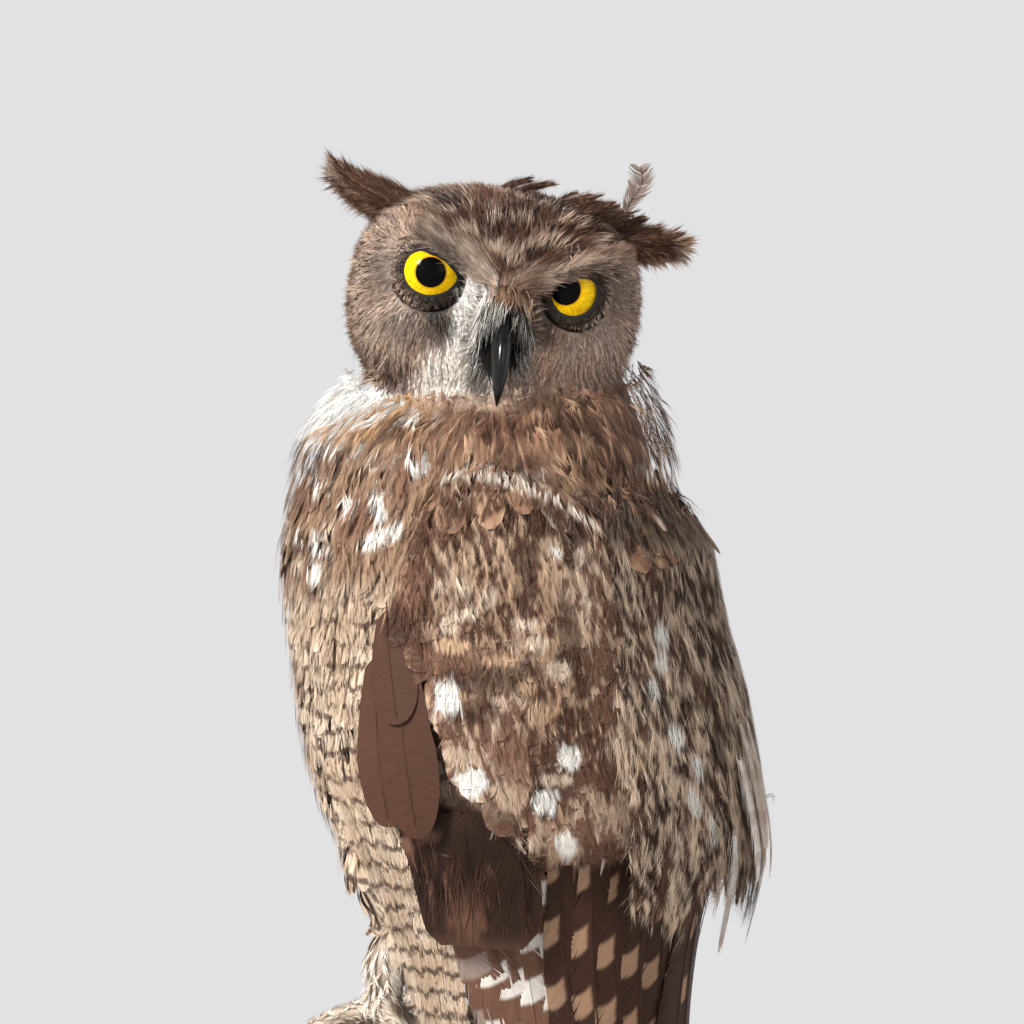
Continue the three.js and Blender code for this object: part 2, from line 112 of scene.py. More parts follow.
def linear(code):
    """A hex sRGB colour as linear numbers."""
    rgb = np.array([int(code[i : i + 2], 16) for i in (1, 3, 5)]) / 255
    return np.where(rgb <= 0.04045, rgb / 12.92, ((rgb + 0.055) / 1.055) ** 2.4)


def blend(low, high, share):
    share = np.asarray(share)[..., None]
    return low * (1 - share) + high * share


# ---------------------------------------------------------------- plumage colours
CREAM = linear("#d9c4ad")
BUFF = linear("#c0a081")
WHITE = linear("#ece8e0")
TAN = linear("#9b765d")
BROWN = linear("#664737")
UMBER = linear("#452d22")
DARK = linear("#2c1c16")
GREY = linear("#978377")
ASH = linear("#6f5e55")
CHARCOAL = linear("#2a2624")


# ---------------------------------------------------------------- surfaces
class Surface:
    """A triangle mesh in mm that feathers are laid on."""

    def __init__(self, points, triangles, owners=None):
        self.points = points
        self.triangles = triangles
        self.owners = owners
        self.tree = BVHTree.FromPolygons(points.tolist(), triangles.tolist())
        corners = points[triangles]
        face = np.cross(corners[:, 1] - corners[:, 0], corners[:, 2] - corners[:, 0])
        self.areas = np.linalg.norm(face, axis=1) / 2
        summed = np.zeros_like(points)
        for corner in range(3):
            np.add.at(summed, triangles[:, corner], face)
        self.point_normals = unit(summed)
        self.normals = unit(self.point_normals[triangles].mean(axis=1))

    def nearest(self, point):
        place, _, face, _ = self.tree.find_nearest(Vector(point))
        return np.array(place), face

    def owner(self, point):
        return self.owners[self.nearest(point)[1]]

    def samples(self, chosen, count, random):
        """Random points, evenly spread by area over the chosen faces, and their faces."""
        faces = random.choice(chosen, count, p=self.areas[chosen] / self.areas[chosen].sum())
        a, b = random.random((2, count))
        flip = a + b > 1
        a, b = np.where(flip, 1 - a, a)[:, None], np.where(flip, 1 - b, b)[:, None]
        corner = self.points[self.triangles[faces]]
        return corner[:, 0] * (1 - a - b) + corner[:, 1] * a + corner[:, 2] * b, faces

    def drape(self, roots, headings, lengths, steps):
        """Lines of steps + 1 points that walk over the surface, and the surface's normals at them."""
        lines = np.empty((len(roots), steps + 1, 3))
        ups = np.empty_like(lines)
        for i, (point, heading, length) in enumerate(zip(roots, headings, lengths)):
            for k in range(steps + 1):
                place, face = self.nearest(point)
                up = self.normals[face]
                lines[i, k], ups[i, k] = place, up
                heading = heading - up * heading.dot(up)
                heading /= max(np.linalg.norm(heading), 1e-9)
                point = place + heading * (length / steps)
        return lines, ups


def mesh_arrays(mesh):
    """A mesh's points in mm and its triangles."""
    mesh.calc_loop_triangles()
    points = np.empty(len(mesh.vertices) * 3)
    mesh.vertices.foreach_get("co", points)
    triangles = np.empty(len(mesh.loop_triangles) * 3, int)
    mesh.loop_triangles.foreach_get("vertices", triangles)
    return points.reshape(-1, 3) / MM, triangles.reshape(-1, 3)


def node_surface(names):
    """The CAD solids of these nodes as one surface, which knows the node of each face."""
    points, triangles, owners = [], [], []
    total = 0
    for name in names:
        more, faces = mesh_arrays(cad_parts[name].data)
        points.append(more)
        triangles.append(faces + total)
        owners += [name] * len(faces)
        total += len(more)
    return Surface(np.vstack(points), np.vstack(triangles), np.array(owners))


def mesh_object(name, points, triangles):
    """A new object whose mesh is these triangles, given in mm."""
    mesh = bpy.data.meshes.new(name)
    mesh.vertices.add(len(points))
    mesh.vertices.foreach_set("co", (np.asarray(points) * MM).astype(np.float32).ravel())
    mesh.loops.add(triangles.size)
    mesh.loops.foreach_set("vertex_index", triangles.astype(np.int32).ravel())
    mesh.polygons.add(len(triangles))
    mesh.polygons.foreach_set("loop_start", np.arange(0, triangles.size, 3, dtype=np.int32))
    mesh.polygons.foreach_set("use_smooth", np.ones(len(triangles), bool))
    mesh.update(calc_edges=True)
    piece = bpy.data.objects.new(name, mesh)
    bpy.context.scene.collection.objects.link(piece)
    return piece


def point_attribute(piece, name, values):
    layer = piece.data.attributes.new(name, "FLOAT_VECTOR", "POINT")
    layer.data.foreach_set("vector", np.asarray(values, np.float32).ravel())


def finish_piece(piece, material, replaced=()):
    piece.data.materials.append(material)
    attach(piece, "root")
    if replaced:
        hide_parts(*replaced)


def ring_faces(rings, sides):
    """Triangles between rings of points that follow each other, with this many points to a ring."""
    faces = []
    for i in range(rings - 1):
        for j in range(sides):
            a, b = i * sides + j, i * sides + (j + 1) % sides
            faces += [(a, b, b + sides), (a, b + sides, a + sides)]
    return faces


cad_outer = node_surface(PLUMAGE_NODES)

# ---------------------------------------------------------------- skin
VOXEL = 2.2
COAT_DEPTH = {"head": 4.5, "neck": 9.0, "trunk": 8.0, "arm": 5.0, "scapulars": 5.0}
COAT_DEPTH.update({"thigh": 6.0, "tarsus": 3.5, "toe": 1.7})
FACE_DEPTH = 3.0


def relaxed(values, edges, rounds):
    """Values at points, each moved half way to its neighbours' mean, a number of times."""
    degree = np.bincount(edges.ravel(), minlength=len(values))[:, None]
    for _ in range(rounds):
        total = np.zeros_like(values)
        np.add.at(total, edges[:, 0], values[edges[:, 1]])
        np.add.at(total, edges[:, 1], values[edges[:, 0]])
        values = (values + total / degree) / 2
    return values


def coat_depth(node):
    part = "toe" if node.startswith("toe") else node.split("_")[-1]
    return COAT_DEPTH[part]


def make_skin():
    """One closed skin inside the plumage nodes, as deep as the coat there, and the surface it makes."""
    raw = mesh_object("skin_raw", cad_outer.points, cad_outer.triangles)
    remesh = raw.modifiers.new("remesh", "REMESH")
    remesh.mode = "VOXEL"
    remesh.voxel_size = VOXEL * MM
    evaluated = raw.evaluated_get(bpy.context.evaluated_depsgraph_get())
    mesh = bpy.data.meshes.new_from_object(evaluated)
    bpy.data.objects.remove(raw)
    points, triangles = mesh_arrays(mesh)
    edges = np.empty(len(mesh.edges) * 2, int)
    mesh.edges.foreach_get("vertices", edges)
    edges = edges.reshape(-1, 2)
    points = relaxed(points, edges, 6)
    outer = Surface(points, triangles)
    depth = np.array([coat_depth(cad_outer.owner(p)) for p in points])
    q = to_head(points)
    on_face = smoothstep(-12, -22, q[:, 1]) * (np.abs(q[:, 2]) < 46) * (depth == COAT_DEPTH["head"])
    depth = depth * (1 - on_face) + FACE_DEPTH * on_face
    depth = relaxed(depth[:, None], edges, 12)
    inner = points - outer.point_normals * depth
    owners = np.array([cad_outer.owner(p) for p in points])
    return Surface(relaxed(inner, edges, 3), triangles, owners[triangles[:, 0]])


skin = make_skin()


# ---------------------------------------------------------------- eyelids
EYE_FRONT = 12.35
APERTURES = {  # degrees round from the head's left, radius in mm
    "right": [(-4, 10.3), (20, 7.6), (60, 6.2), (100, 6.6), (125, 9.0), (150, 10.0), (180, 10.2), (215, 9.7),
              (250, 8.8), (290, 8.5), (330, 9.4)],
    "left": [(0, 9.6), (20, 9.6), (38, 8.8), (60, 6.4), (90, 4.6), (125, 4.4), (155, 6.0), (180, 7.4),
             (215, 8.2), (250, 9.0), (285, 9.3), (325, 9.6)],
}
GAZE = {"left": (-0.3, -1.0, 0.06), "right": (-0.09, -1.0, 0.0)}


def eye_axes(name):
    """Eye frame: across, up and out of the eye, in head coordinates."""
    out = unit(np.array(GAZE[name]))
    across = unit(np.cross(out, np.array([0.0, 0.0, 1.0]))) * -1
    across = across if across[0] > 0 else -across
    return across, np.array([0.0, 0.0, 1.0]), out


def aperture_radius(name, degrees):
    points = APERTURES[name]
    angles = np.array([p[0] for p in points] + [points[0][0] + 360], float)
    radii = np.array([p[1] for p in points] + [points[0][1]], float)
    return np.interp((degrees - angles[0]) % 360 + angles[0], angles, radii)


LID_RIM = [(-1.2, -0.7), (-0.4, 0.1), (0.0, 0.5), (0.5, 1.0), (1.1, 1.1)]  # outwards from the opening, and lift
LID_SLOPE = [(0.25, 1.0), (0.5, 0.9), (0.75, 0.7), (1.0, 0.0)]  # share of the way to LID_RADIUS, and lift
LID_RADIUS = 13.5
LID_TURN = 0.09  # how far the lids face to the head's right, for each mm ahead


def lid_mesh(name):
    """A swept ring that closes the skin round an eye: points and triangles that face outwards."""
    out = unit(np.array([-LID_TURN, -1.0, 0.0]))
    across, up = np.array([1.0, -LID_TURN, 0.0]), np.array([0.0, 0.0, 1.0])
    count = 72
    degrees = np.arange(count) * 360 / count
    opening = aperture_radius(name, degrees)
    for _ in range(2):
        opening = (np.roll(opening, 1) + 2 * opening + np.roll(opening, -1)) / 4
    s, c = np.sin(np.radians(degrees)), np.cos(np.radians(degrees))
    rows = [(opening + grow, rise) for grow, rise in LID_RIM]
    rim = rows[-1][0]
    rows += [(rim + (LID_RADIUS - rim) * share, rise) for share, rise in LID_SLOPE]
    points = []
    for row, (radius, rise) in enumerate(rows):
        ripple = 0.1 * np.sin(degrees * 0.35 + row) if row > 1 else 0
        outwards = np.sqrt(np.maximum(EYE_FRONT**2 - radius**2, 1.0)) + rise + ripple
        ring = EYES[name] + across * (radius * c)[:, None] + up * (radius * s)[:, None]
        points.append(ring + out * outwards[:, None])
    triangles = np.array(ring_faces(len(rows), count))[:, [0, 2, 1]]
    return from_head(np.vstack(points)), triangles


def with_lids(bare):
    """The skin with a lid ring joined to it round each eye."""
    points, triangles, owners = [bare.points], [bare.triangles], [bare.owners]
    total = len(bare.points)
    for name in SIDES:
        more, faces = lid_mesh(name)
        points.append(more)
        triangles.append(faces + total)
        owners.append(np.full(len(faces), "head"))
        total += len(more)
    return Surface(np.vstack(points), np.vstack(triangles), np.concatenate(owners))


bare_points = len(skin.points)
skin = with_lids(skin)


# ---------------------------------------------------------------- feather shapes
class Feather:
    """A unit feather: a runs across from -1 to 1, b from root to tip, c is lift in mm, and barb tells the
    barbs apart."""

    def __init__(self):
        self.a, self.b, self.c, self.barb, self.triangles = [], [], [], [], []

    def point(self, across, along, lift, barb):
        self.a.append(across)
        self.b.append(along)
        self.c.append(lift)
        self.barb.append(barb)
        return len(self.a) - 1

    def band(self, last, ring):
        """Triangles between two rows of points."""
        for j in range(min(len(last), len(ring)) - 1):
            self.triangles += [(last[j], last[j + 1], ring[j + 1]), (last[j], ring[j + 1], ring[j])]
        if len(ring) == 1 and len(last) == 2:
            self.triangles.append((last[0], last[1], ring[0]))

    def strip(self, rows):
        """Triangles between each row of points and the next."""
        for last, ring in zip(rows, rows[1:]):
            self.band(last, ring)

    def done(self):
        self.a, self.b, self.c, self.barb = (
            np.array(values, float) for values in (self.a, self.b, self.c, self.barb)
        )
        self.triangles = np.array(self.triangles, int)
        return self


def half_outline(b, widest, blunt=2.2):
    """Half width at b, as a share of the widest."""
    grow = np.clip(0.3 + 0.7 * b / widest, 0, 1)
    close = np.clip((b - widest) / (1 - widest), 0, 1)
    return grow * np.sqrt(np.maximum(1 - close**blunt, 0))


SHAFT_BARB = 500.0  # the shaft's number among the barbs


def add_shaft(shape, half, lift, stations=8):
    """A tapering ridge down the middle of a feather."""
    rows = []
    for along in np.linspace(0.02, 0.95, stations):
        width = half * (1 - 0.85 * along)
        rows.append([shape.point(across, along, height, SHAFT_BARB)
                     for across, height in ((-width, lift * 0.3), (0, lift), (width, lift * 0.3))])
    shape.strip(rows)


def loose_feather(random, strands, start=0.3, widest=0.6, past=0.14, stray=0.06, camber=0.8, lift=0.25, vane=0.74,
                  reach=0.24, rows=7, columns=3):
    """A soft feather: a thin vane, and single barbs that lie on it and run past its edge. vane is the vane's
    share of the full width, and reach how far each barb runs along the feather."""
    shape = Feather()
    grid = []
    for along in [*np.linspace(start, 0.88, rows - 1), 0.96]:
        half = half_outline(along, widest) * vane * (0.5 if along > 0.95 else 1.0)
        grid.append([shape.point(side * half, along, -camber * (side * half) ** 2,
                                 (along - 0.25 * abs(side)) * 40 + side)
                     for side in np.linspace(-1, 1, columns)])
    shape.strip(grid)
    for side in (-1, 1):
        for i in range(strands):
            share = (i + random.uniform(0.1, 0.9)) / strands
            root_b = start - 0.05 + (0.84 - start) * share**1.1
            end_b = min(root_b + reach * random.uniform(0.8, 1.4), 1.0) + random.normal(0, 0.02) + past * 0.25
            edge = half_outline(min(end_b, 0.96), widest)
            root_a = side * edge * vane * random.uniform(0.05, 0.8)
            end_a = side * edge * random.uniform(0.35, 1.0 + past) + random.normal(0, stray)
            height = lift * random.uniform(0.3, 1.6)
            wide = random.uniform(0.018, 0.036)
            number = random.uniform(0, 400)
            low = -camber * root_a * root_a + 0.05
            tip = -camber * min(end_a * end_a, 1.2) + height
            foot = [shape.point(root_a - wide, root_b, low, number), shape.point(root_a + wide, root_b, low, number)]
            shape.band(foot, [shape.point(end_a, end_b, tip, number)])
    return shape.done()


def firm_feather(random, barbs, start=0.12, widest=0.75, camber=1.0, splits=0.08, fray=0.01, inner=1.0,
                 shaft=0.05, blunt=2.6):
    """A feather whose barbs are zipped into a vane with a few splits and a slightly frayed edge. inner is
    the width of the side where a is negative."""
    shape = Feather()
    for side in (1, -1):
        width = 1.0 if side > 0 else inner
        share = np.linspace(0, 1, barbs + 1)
        roots = start + (0.97 - start) * share
        ends = start + 0.07 + (1 - start - 0.07) * share**0.9
        across = half_outline(np.minimum(ends, 0.995), widest, blunt)
        across[-1] = 0.02
        split = random.random(barbs + 1) < splits
        sag = 0.0
        for i in range(barbs):
            sag = sag * 0.8 + (random.uniform(0.01, 0.035) if split[i] else 0.0)
            frays = random.normal(0, fray, 2)
            number = side * (i + 1) * 1.0
            seam = 0.7 if split[i] else 1.0
            low_a, high_a = across[i] * width * side, across[i + 1] * width * side
            low_b, high_b = ends[i] - sag, ends[i + 1] - sag
            parts = [[shape.point(0, roots[i], 0, number), shape.point(0, roots[i + 1], 0, number)]]
            for t, room in ((0.55, 1.0), (1.0, seam)):
                lean = t**1.25
                a_low, b_low = low_a * t, roots[i] + (low_b - roots[i]) * lean
                a_high, b_high = high_a * t, roots[i + 1] + (high_b - roots[i + 1]) * lean
                a_high = a_low + (a_high - a_low) * room
                b_high = b_low + (b_high - b_low) * room
                if t == 1.0:
                    b_low, b_high = b_low + frays[0], b_high + frays[0]
                    a_low, a_high = a_low * (1 + frays[1]), a_high * (1 + frays[1])
                parts.append([shape.point(a_low, b_low, -camber * a_low * a_low, number),
                              shape.point(a_high, b_high, -camber * a_high * a_high, number)])
            shape.strip(parts)
    add_shaft(shape, shaft, 0.45)
    return shape.done()


def open_feather(random, barbs):
    """A small feather whose barbs stand apart along its shaft."""
    shape = Feather()
    for side in (-1, 1):
        for root in np.linspace(0.2, 0.93, barbs):
            root += random.uniform(-0.02, 0.02)
            reach = side * half_outline(root * 0.96, 0.5) * random.uniform(0.85, 1.1)
            number = random.uniform(0, 400)
            rows = []
            for t, half in ((0, 0.014), (0.5, 0.012), (1.0, 0.0)):
                along = root + 0.17 * t**1.4 + random.normal(0, 0.004)
                rows.append([shape.point(reach * t, along + offset, 0.3 * t, number)
                             for offset in ((-half, half) if half else (0,))])
            shape.strip(rows)
    add_shaft(shape, 0.07, 0.4, 12)
    return shape.done()


def tuft(random, blades, width, spread, steps=3, lift=0.25):
    """Thin pointed blades that share a root: the hair-like feathers of head and feet, bristles, and the loose
    barbs that lie over the larger feathers."""
    shape = Feather()
    for _ in range(blades):
        sway, bend = random.normal(0, spread), random.normal(0, spread * 0.5)
        reach, rise = random.uniform(0.6, 1.0), random.normal(0, lift)
        number = random.uniform(0, 400)
        rows = []
        for k in range(steps + 1):
            t = k / steps
            middle = sway * t + bend * t * t
            half = width * (1 - t) ** 0.7 * (0.6 if k == 0 else 1.0)
            sides = (-half, half) if k < steps else (0,)
            rows.append([shape.point(middle + across, t * reach, rise * t, number) for across in sides])
        shape.strip(rows)
    return shape.done()


shape_rng = np.random.default_rng(5)


def several(count, make, *numbers, **settings):
    """Random shapes of one kind of feather, of which a coat picks one for each place."""
    return [make(shape_rng, *numbers, **settings) for _ in range(count)]


VANED = {"start": 0.08, "widest": 0.8}
CONTOUR = several(8, loose_feather, 34, vane=0.6, past=0.15, rows=10, columns=5)
SHAGGY = several(8, loose_feather, 34, widest=0.55, past=0.35, stray=0.12, lift=0.6, vane=0.42, reach=0.3)
# these are laid nowhere, but the shapes below depend on the numbers that they draw
several(5, firm_feather, 26, start=0.2, widest=0.68, splits=0.05, fray=0.012)
SOFT_COVERT = several(8, loose_feather, 44, start=0.25, widest=0.62, past=0.12, stray=0.04, camber=0.9, lift=0.12,
                      vane=0.84, reach=0.2, rows=14, columns=7)
QUILL = [firm_feather(shape_rng, 52, camber=1.6, splits=0.035, fray=0.004, inner=inner, **VANED)
         for inner in (1.4, 1.5, 1.6)]
SECONDARY = several(3, firm_feather, 52, camber=2.4, splits=0.02, fray=0.004, inner=1.2, **VANED)
SMOOTH = several(4, firm_feather, 60, start=0.08, widest=0.62, camber=1.4, splits=0.0, fray=0.0, shaft=0.03)
RECTRIX = [firm_feather(shape_rng, 46, splits=0.03, fray=0.004, inner=inner, **VANED) for inner in (1.1, 1.2)]
PLUMELET = several(4, loose_feather, 44, start=0.12, widest=0.5, past=0.25, stray=0.07, camber=0.5, lift=0.4,
                   vane=0.5, reach=0.22)
WISPY = several(4, loose_feather, 46, start=0.08, widest=0.42, past=0.6, stray=0.12, camber=0.5, lift=0.7,
                vane=0.35, reach=0.26)
DOWN = several(6, tuft, 5, 0.15, 0.5)
HAIR = several(8, tuft, 5, 0.1, 0.35, 2)
FRINGE = several(8, tuft, 6, 0.09, 0.45, 2)
NAP = several(10, tuft, 9, 0.05, 0.42, 5, 0.12)
OPEN = several(1, open_feather, 44)
STRAY = several(8, tuft, 6, 0.045, 0.3, 5, 0.2)
BRISTLE = several(6, tuft, 2, 0.09, 0.35, 5)


def spline_weights(b, nodes):
    """Catmull-Rom weights of the nodes of a line, and of its slope, at shares b of its length."""
    place = np.clip(b, 0, 1) * (nodes - 1)
    start = np.minimum(place.astype(int), nodes - 2)
    t = place - start
    rows = np.arange(len(b))
    values = np.zeros((len(b), nodes))
    slopes = np.zeros_like(values)
    value = [(-t + 2 * t**2 - t**3) / 2, (2 - 5 * t**2 + 3 * t**3) / 2,
             (t + 4 * t**2 - 3 * t**3) / 2, (-(t**2) + t**3) / 2]
    slope = [(-1 + 4 * t - 3 * t**2) / 2, (-10 * t + 9 * t**2) / 2,
             (1 + 8 * t - 9 * t**2) / 2, (-2 * t + 3 * t**2) / 2]
    for offset in range(4):
        index = start + offset - 1
        inside = np.clip(index, 0, nodes - 1)
        for table, part in ((values, value), (slopes, slope)):
            np.add.at(table, (rows, inside), part[offset])
            # past an end, the line goes on straight
            over = index != inside
            step = np.where(index < 0, 1, nodes - 2)
            np.add.at(table, (rows[over], inside[over]), part[offset][over])
            np.add.at(table, (rows[over], step[over]), -part[offset][over])
    return values, slopes


class Coat:
    """Gathers feathers, each with its shape, line and looks, and joins them into one piece."""

    LOOKS = ("ground", "mark", "pale", "bars", "spots")
    PATCH = 0.003

    def __init__(self, place=None):
        """place(points) gives the feathers' places on an unwrap of the skin."""
        self.place = place or unwrap
        self.points, self.triangles, self.uv, self.total = [], [], [], 0
        self.values = {name: [] for name in self.LOOKS + ("vane", "seed")}

    def add(self, shapes, lines, ups, half_width, length, look, mirror=1, twist=None):
        """lines and ups are N by K by 3. half_width and length are N long, in mm."""
        count = len(lines)
        pick = rng.integers(0, len(shapes), count)
        twist = np.zeros(count) if twist is None else twist
        seed = np.stack([rng.random(count), lines[:, -1, 2] / 10 + look["shift"], np.zeros(count)], axis=-1)
        for number, shape in enumerate(shapes):
            chosen = np.flatnonzero(pick == number)
            if not len(chosen):
                continue
            value, slope = spline_weights(shape.b, lines.shape[1])
            place = np.einsum("vk,nkc->nvc", value, lines[chosen])
            up = unit(np.einsum("vk,nkc->nvc", value, ups[chosen]))
            along = unit(np.einsum("vk,nkc->nvc", slope, lines[chosen]))
            beside = unit(np.cross(along, up))
            up = np.cross(beside, along)
            turn = twist[chosen][:, None, None]
            beside, up = beside * np.cos(turn) + up * np.sin(turn), up * np.cos(turn) - beside * np.sin(turn)
            across = (shape.a * mirror)[None, :, None] * half_width[chosen][:, None, None]
            points = place + beside * across + up * shape.c[None, :, None]
            each = len(shape.a)
            self.points.append(points.reshape(-1, 3))
            first = self.total + np.arange(len(chosen))[:, None, None] * each
            self.triangles.append((shape.triangles[None] + first).reshape(-1, 3))
            self.total += len(chosen) * each
            from_tip = (1 - shape.b)[None] * length[chosen][:, None] / 10
            vane = [np.broadcast_to(shape.a, from_tip.shape), from_tip, np.broadcast_to(shape.barb, from_tip.shape)]
            self.values["vane"].append(np.stack(vane, axis=-1).reshape(-1, 3))
            self.values["seed"].append(np.repeat(seed[chosen], each, axis=0))
            for name in self.LOOKS:
                self.values[name].append(np.repeat(look[name][chosen], each, axis=0))
            half = self.PATCH / 2
            patch = np.stack([np.clip(shape.a, -1, 1) * half + half, shape.b * self.PATCH], axis=-1)
            corner = self.place(lines[chosen, 0])
            self.uv.append((corner[:, None] + patch[None]).reshape(-1, 2))

    def build(self, name, slot, material, replaced=(), paint=None):
        """paint(points) gives each point's ground colour, which the feather's own only shades."""
        triangles = np.vstack(self.triangles)
        points = np.vstack(self.points)
        if paint:
            self.values["ground"] = [paint(points) * np.vstack(self.values["ground"])]
        piece = mesh_object(name, points, triangles)
        for look, values in self.values.items():
            point_attribute(piece, look, np.vstack(values))
        layer = piece.data.uv_layers.new(name="OFBake")
        layer.data.foreach_set("uv", np.vstack(self.uv)[triangles.ravel()].astype(np.float32).ravel())
        finish_piece(piece, material, replaced)


MARGIN, ROOM = 0.01, 0.97  # of an unwrap: its edge, and its size
UNWRAP_Y, UNWRAP_HEIGHT = -7.0, 500.0


def unwrap(points):
    """Where a point of the skin lies on a cylinder unrolled round the body."""
    angle = np.degrees(np.arctan2(points[:, 0], -(points[:, 1] - UNWRAP_Y)))
    return np.stack([MARGIN + ROOM * (angle + 180) / 360, MARGIN + ROOM * points[:, 2] / UNWRAP_HEIGHT], axis=-1)


def head_unwrap(points):
    """Where a point of the head lies when its skin is spread flat about the middle of the face."""
    q = to_head(points)
    spread = np.arctan2(np.hypot(q[:, 0], q[:, 2]), -q[:, 1]) / math.pi
    way = np.arctan2(q[:, 2], q[:, 0])
    return np.stack([0.495 + 0.48 * spread * np.cos(way), 0.495 + 0.48 * spread * np.sin(way)], axis=-1)


def foot_unwrap(points):
    """The toes as the branch's bark unrolls, and above them each shank unrolled."""
    x, back, up = points[:, 0], points[:, 1] - BRANCH_Y, points[:, 2] - BRANCH_Z
    roll = np.arctan2(back, up) / math.pi
    toes = np.stack([MARGIN + ROOM * (x + 60) / 120, MARGIN + 0.46 * (roll + 1) / 2], axis=-1)
    turn = np.arctan2(x - FOOT_X * np.sign(x), -back) / math.pi
    rise = np.clip((up - 30) / 110, 0, 1)
    shanks = np.stack([MARGIN + 0.49 * (x > 0) + 0.46 * (turn + 1) / 2, 0.5 + 0.46 * rise], axis=-1)
    return np.where((np.hypot(back, up) < 48)[:, None], toes, shanks)


def looks(count, ground, mark, pale, bars, spots=(0, 0, 0), shade=0.08):
    """The looks of many feathers. Each value is one for all or one for each: bars are strength, period in
    cm and share, and spots are nothing, flecks and shaft streak. Bars keep to the same heights on all
    feathers but for their shift in cm."""
    tone = np.exp(rng.normal(0, shade, (count, 1)))
    named = {"ground": ground, "mark": mark, "pale": pale, "bars": bars, "spots": spots}
    full = {name: np.broadcast_to(np.asarray(value, float), (count, 3)).copy() for name, value in named.items()}
    for name in ("ground", "mark", "pale"):
        full[name] *= tone
    full["shift"] = np.zeros(count)
    return full


def thinned(points, spacing):
    """Indices of points of which no two are closer than spacing."""
    cells = {}
    kept = []
    keys = np.floor(points / spacing).astype(int)
    offsets = [(i, j, k) for i in (-1, 0, 1) for j in (-1, 0, 1) for k in (-1, 0, 1)]
    for index, (x, y, z) in enumerate(keys.tolist()):
        point = points[index]
        near = (cells.get((x + i, y + j, z + k)) for i, j, k in offsets)
        if any(((points[other] - point) ** 2).sum() < spacing**2 for found in near if found for other in found):
            continue
        cells.setdefault((x, y, z), []).append(index)
        kept.append(index)
    return np.array(kept)


TRIES = 3.0  # random places tried for each that the spacing leaves room for


def scattered(spacing, owners, keep=None):
    """Roots on the skin about spacing apart, on faces with these owners where keep(points, normals) is true,
    with their normals and owners."""
    centres = skin.points[skin.triangles].mean(axis=1)
    chosen = np.isin(skin.owners, owners)
    if keep is not None:
        chosen &= keep(centres, skin.normals)
    chosen = np.flatnonzero(chosen)
    count = int(TRIES * skin.areas[chosen].sum() / spacing**2)
    points, faces = skin.samples(chosen, count, rng)
    kept = thinned(points, spacing)
    return points[kept], skin.normals[faces[kept]], skin.owners[faces[kept]]


def swayed(headings, normals, degrees):
    """Headings turned about the normals by random angles."""
    turn = np.radians(rng.normal(0, degrees, len(headings)))[:, None]
    return headings * np.cos(turn) + np.cross(normals, headings) * np.sin(turn)


def drift(points, size, seed):
    """Smooth noise over space, about -1 to 1, whose patches are about size mm across."""
    random = np.random.default_rng(seed)
    total = np.zeros(len(points))
    for _ in range(7):
        way = unit(random.normal(size=3)) * 2 * math.pi / (size * random.uniform(1.4, 2.8))
        total += np.sin(points @ way + random.uniform(0, 2 * math.pi))
    return total / 2.2


def chosen_looks(look, chosen):
    return {name: values[chosen] for name, values in look.items()}


TIP_RISE = 0.9
SETTLED_TWIST = 0.1


def lay(coat, shapes, roots, headings, length, half_width, depth, look, steps=4, base=0.08):
    """Feathers that leave the skin at their roots, or at a share base of the coat's depth, and reach that
    depth at their tips."""
    lines, ups = skin.drape(roots, headings, length, steps)
    share = np.linspace(0, 1, steps + 1) ** TIP_RISE
    height = depth[:, None] * (base + (1 - base) * share[None]) * np.exp(rng.normal(0, 0.08, (len(roots), 1)))
    lines = lines + ups * height[..., None]
    coat.add(shapes, lines, ups, half_width, length, look, twist=rng.normal(0, SETTLED_TWIST, len(roots)))


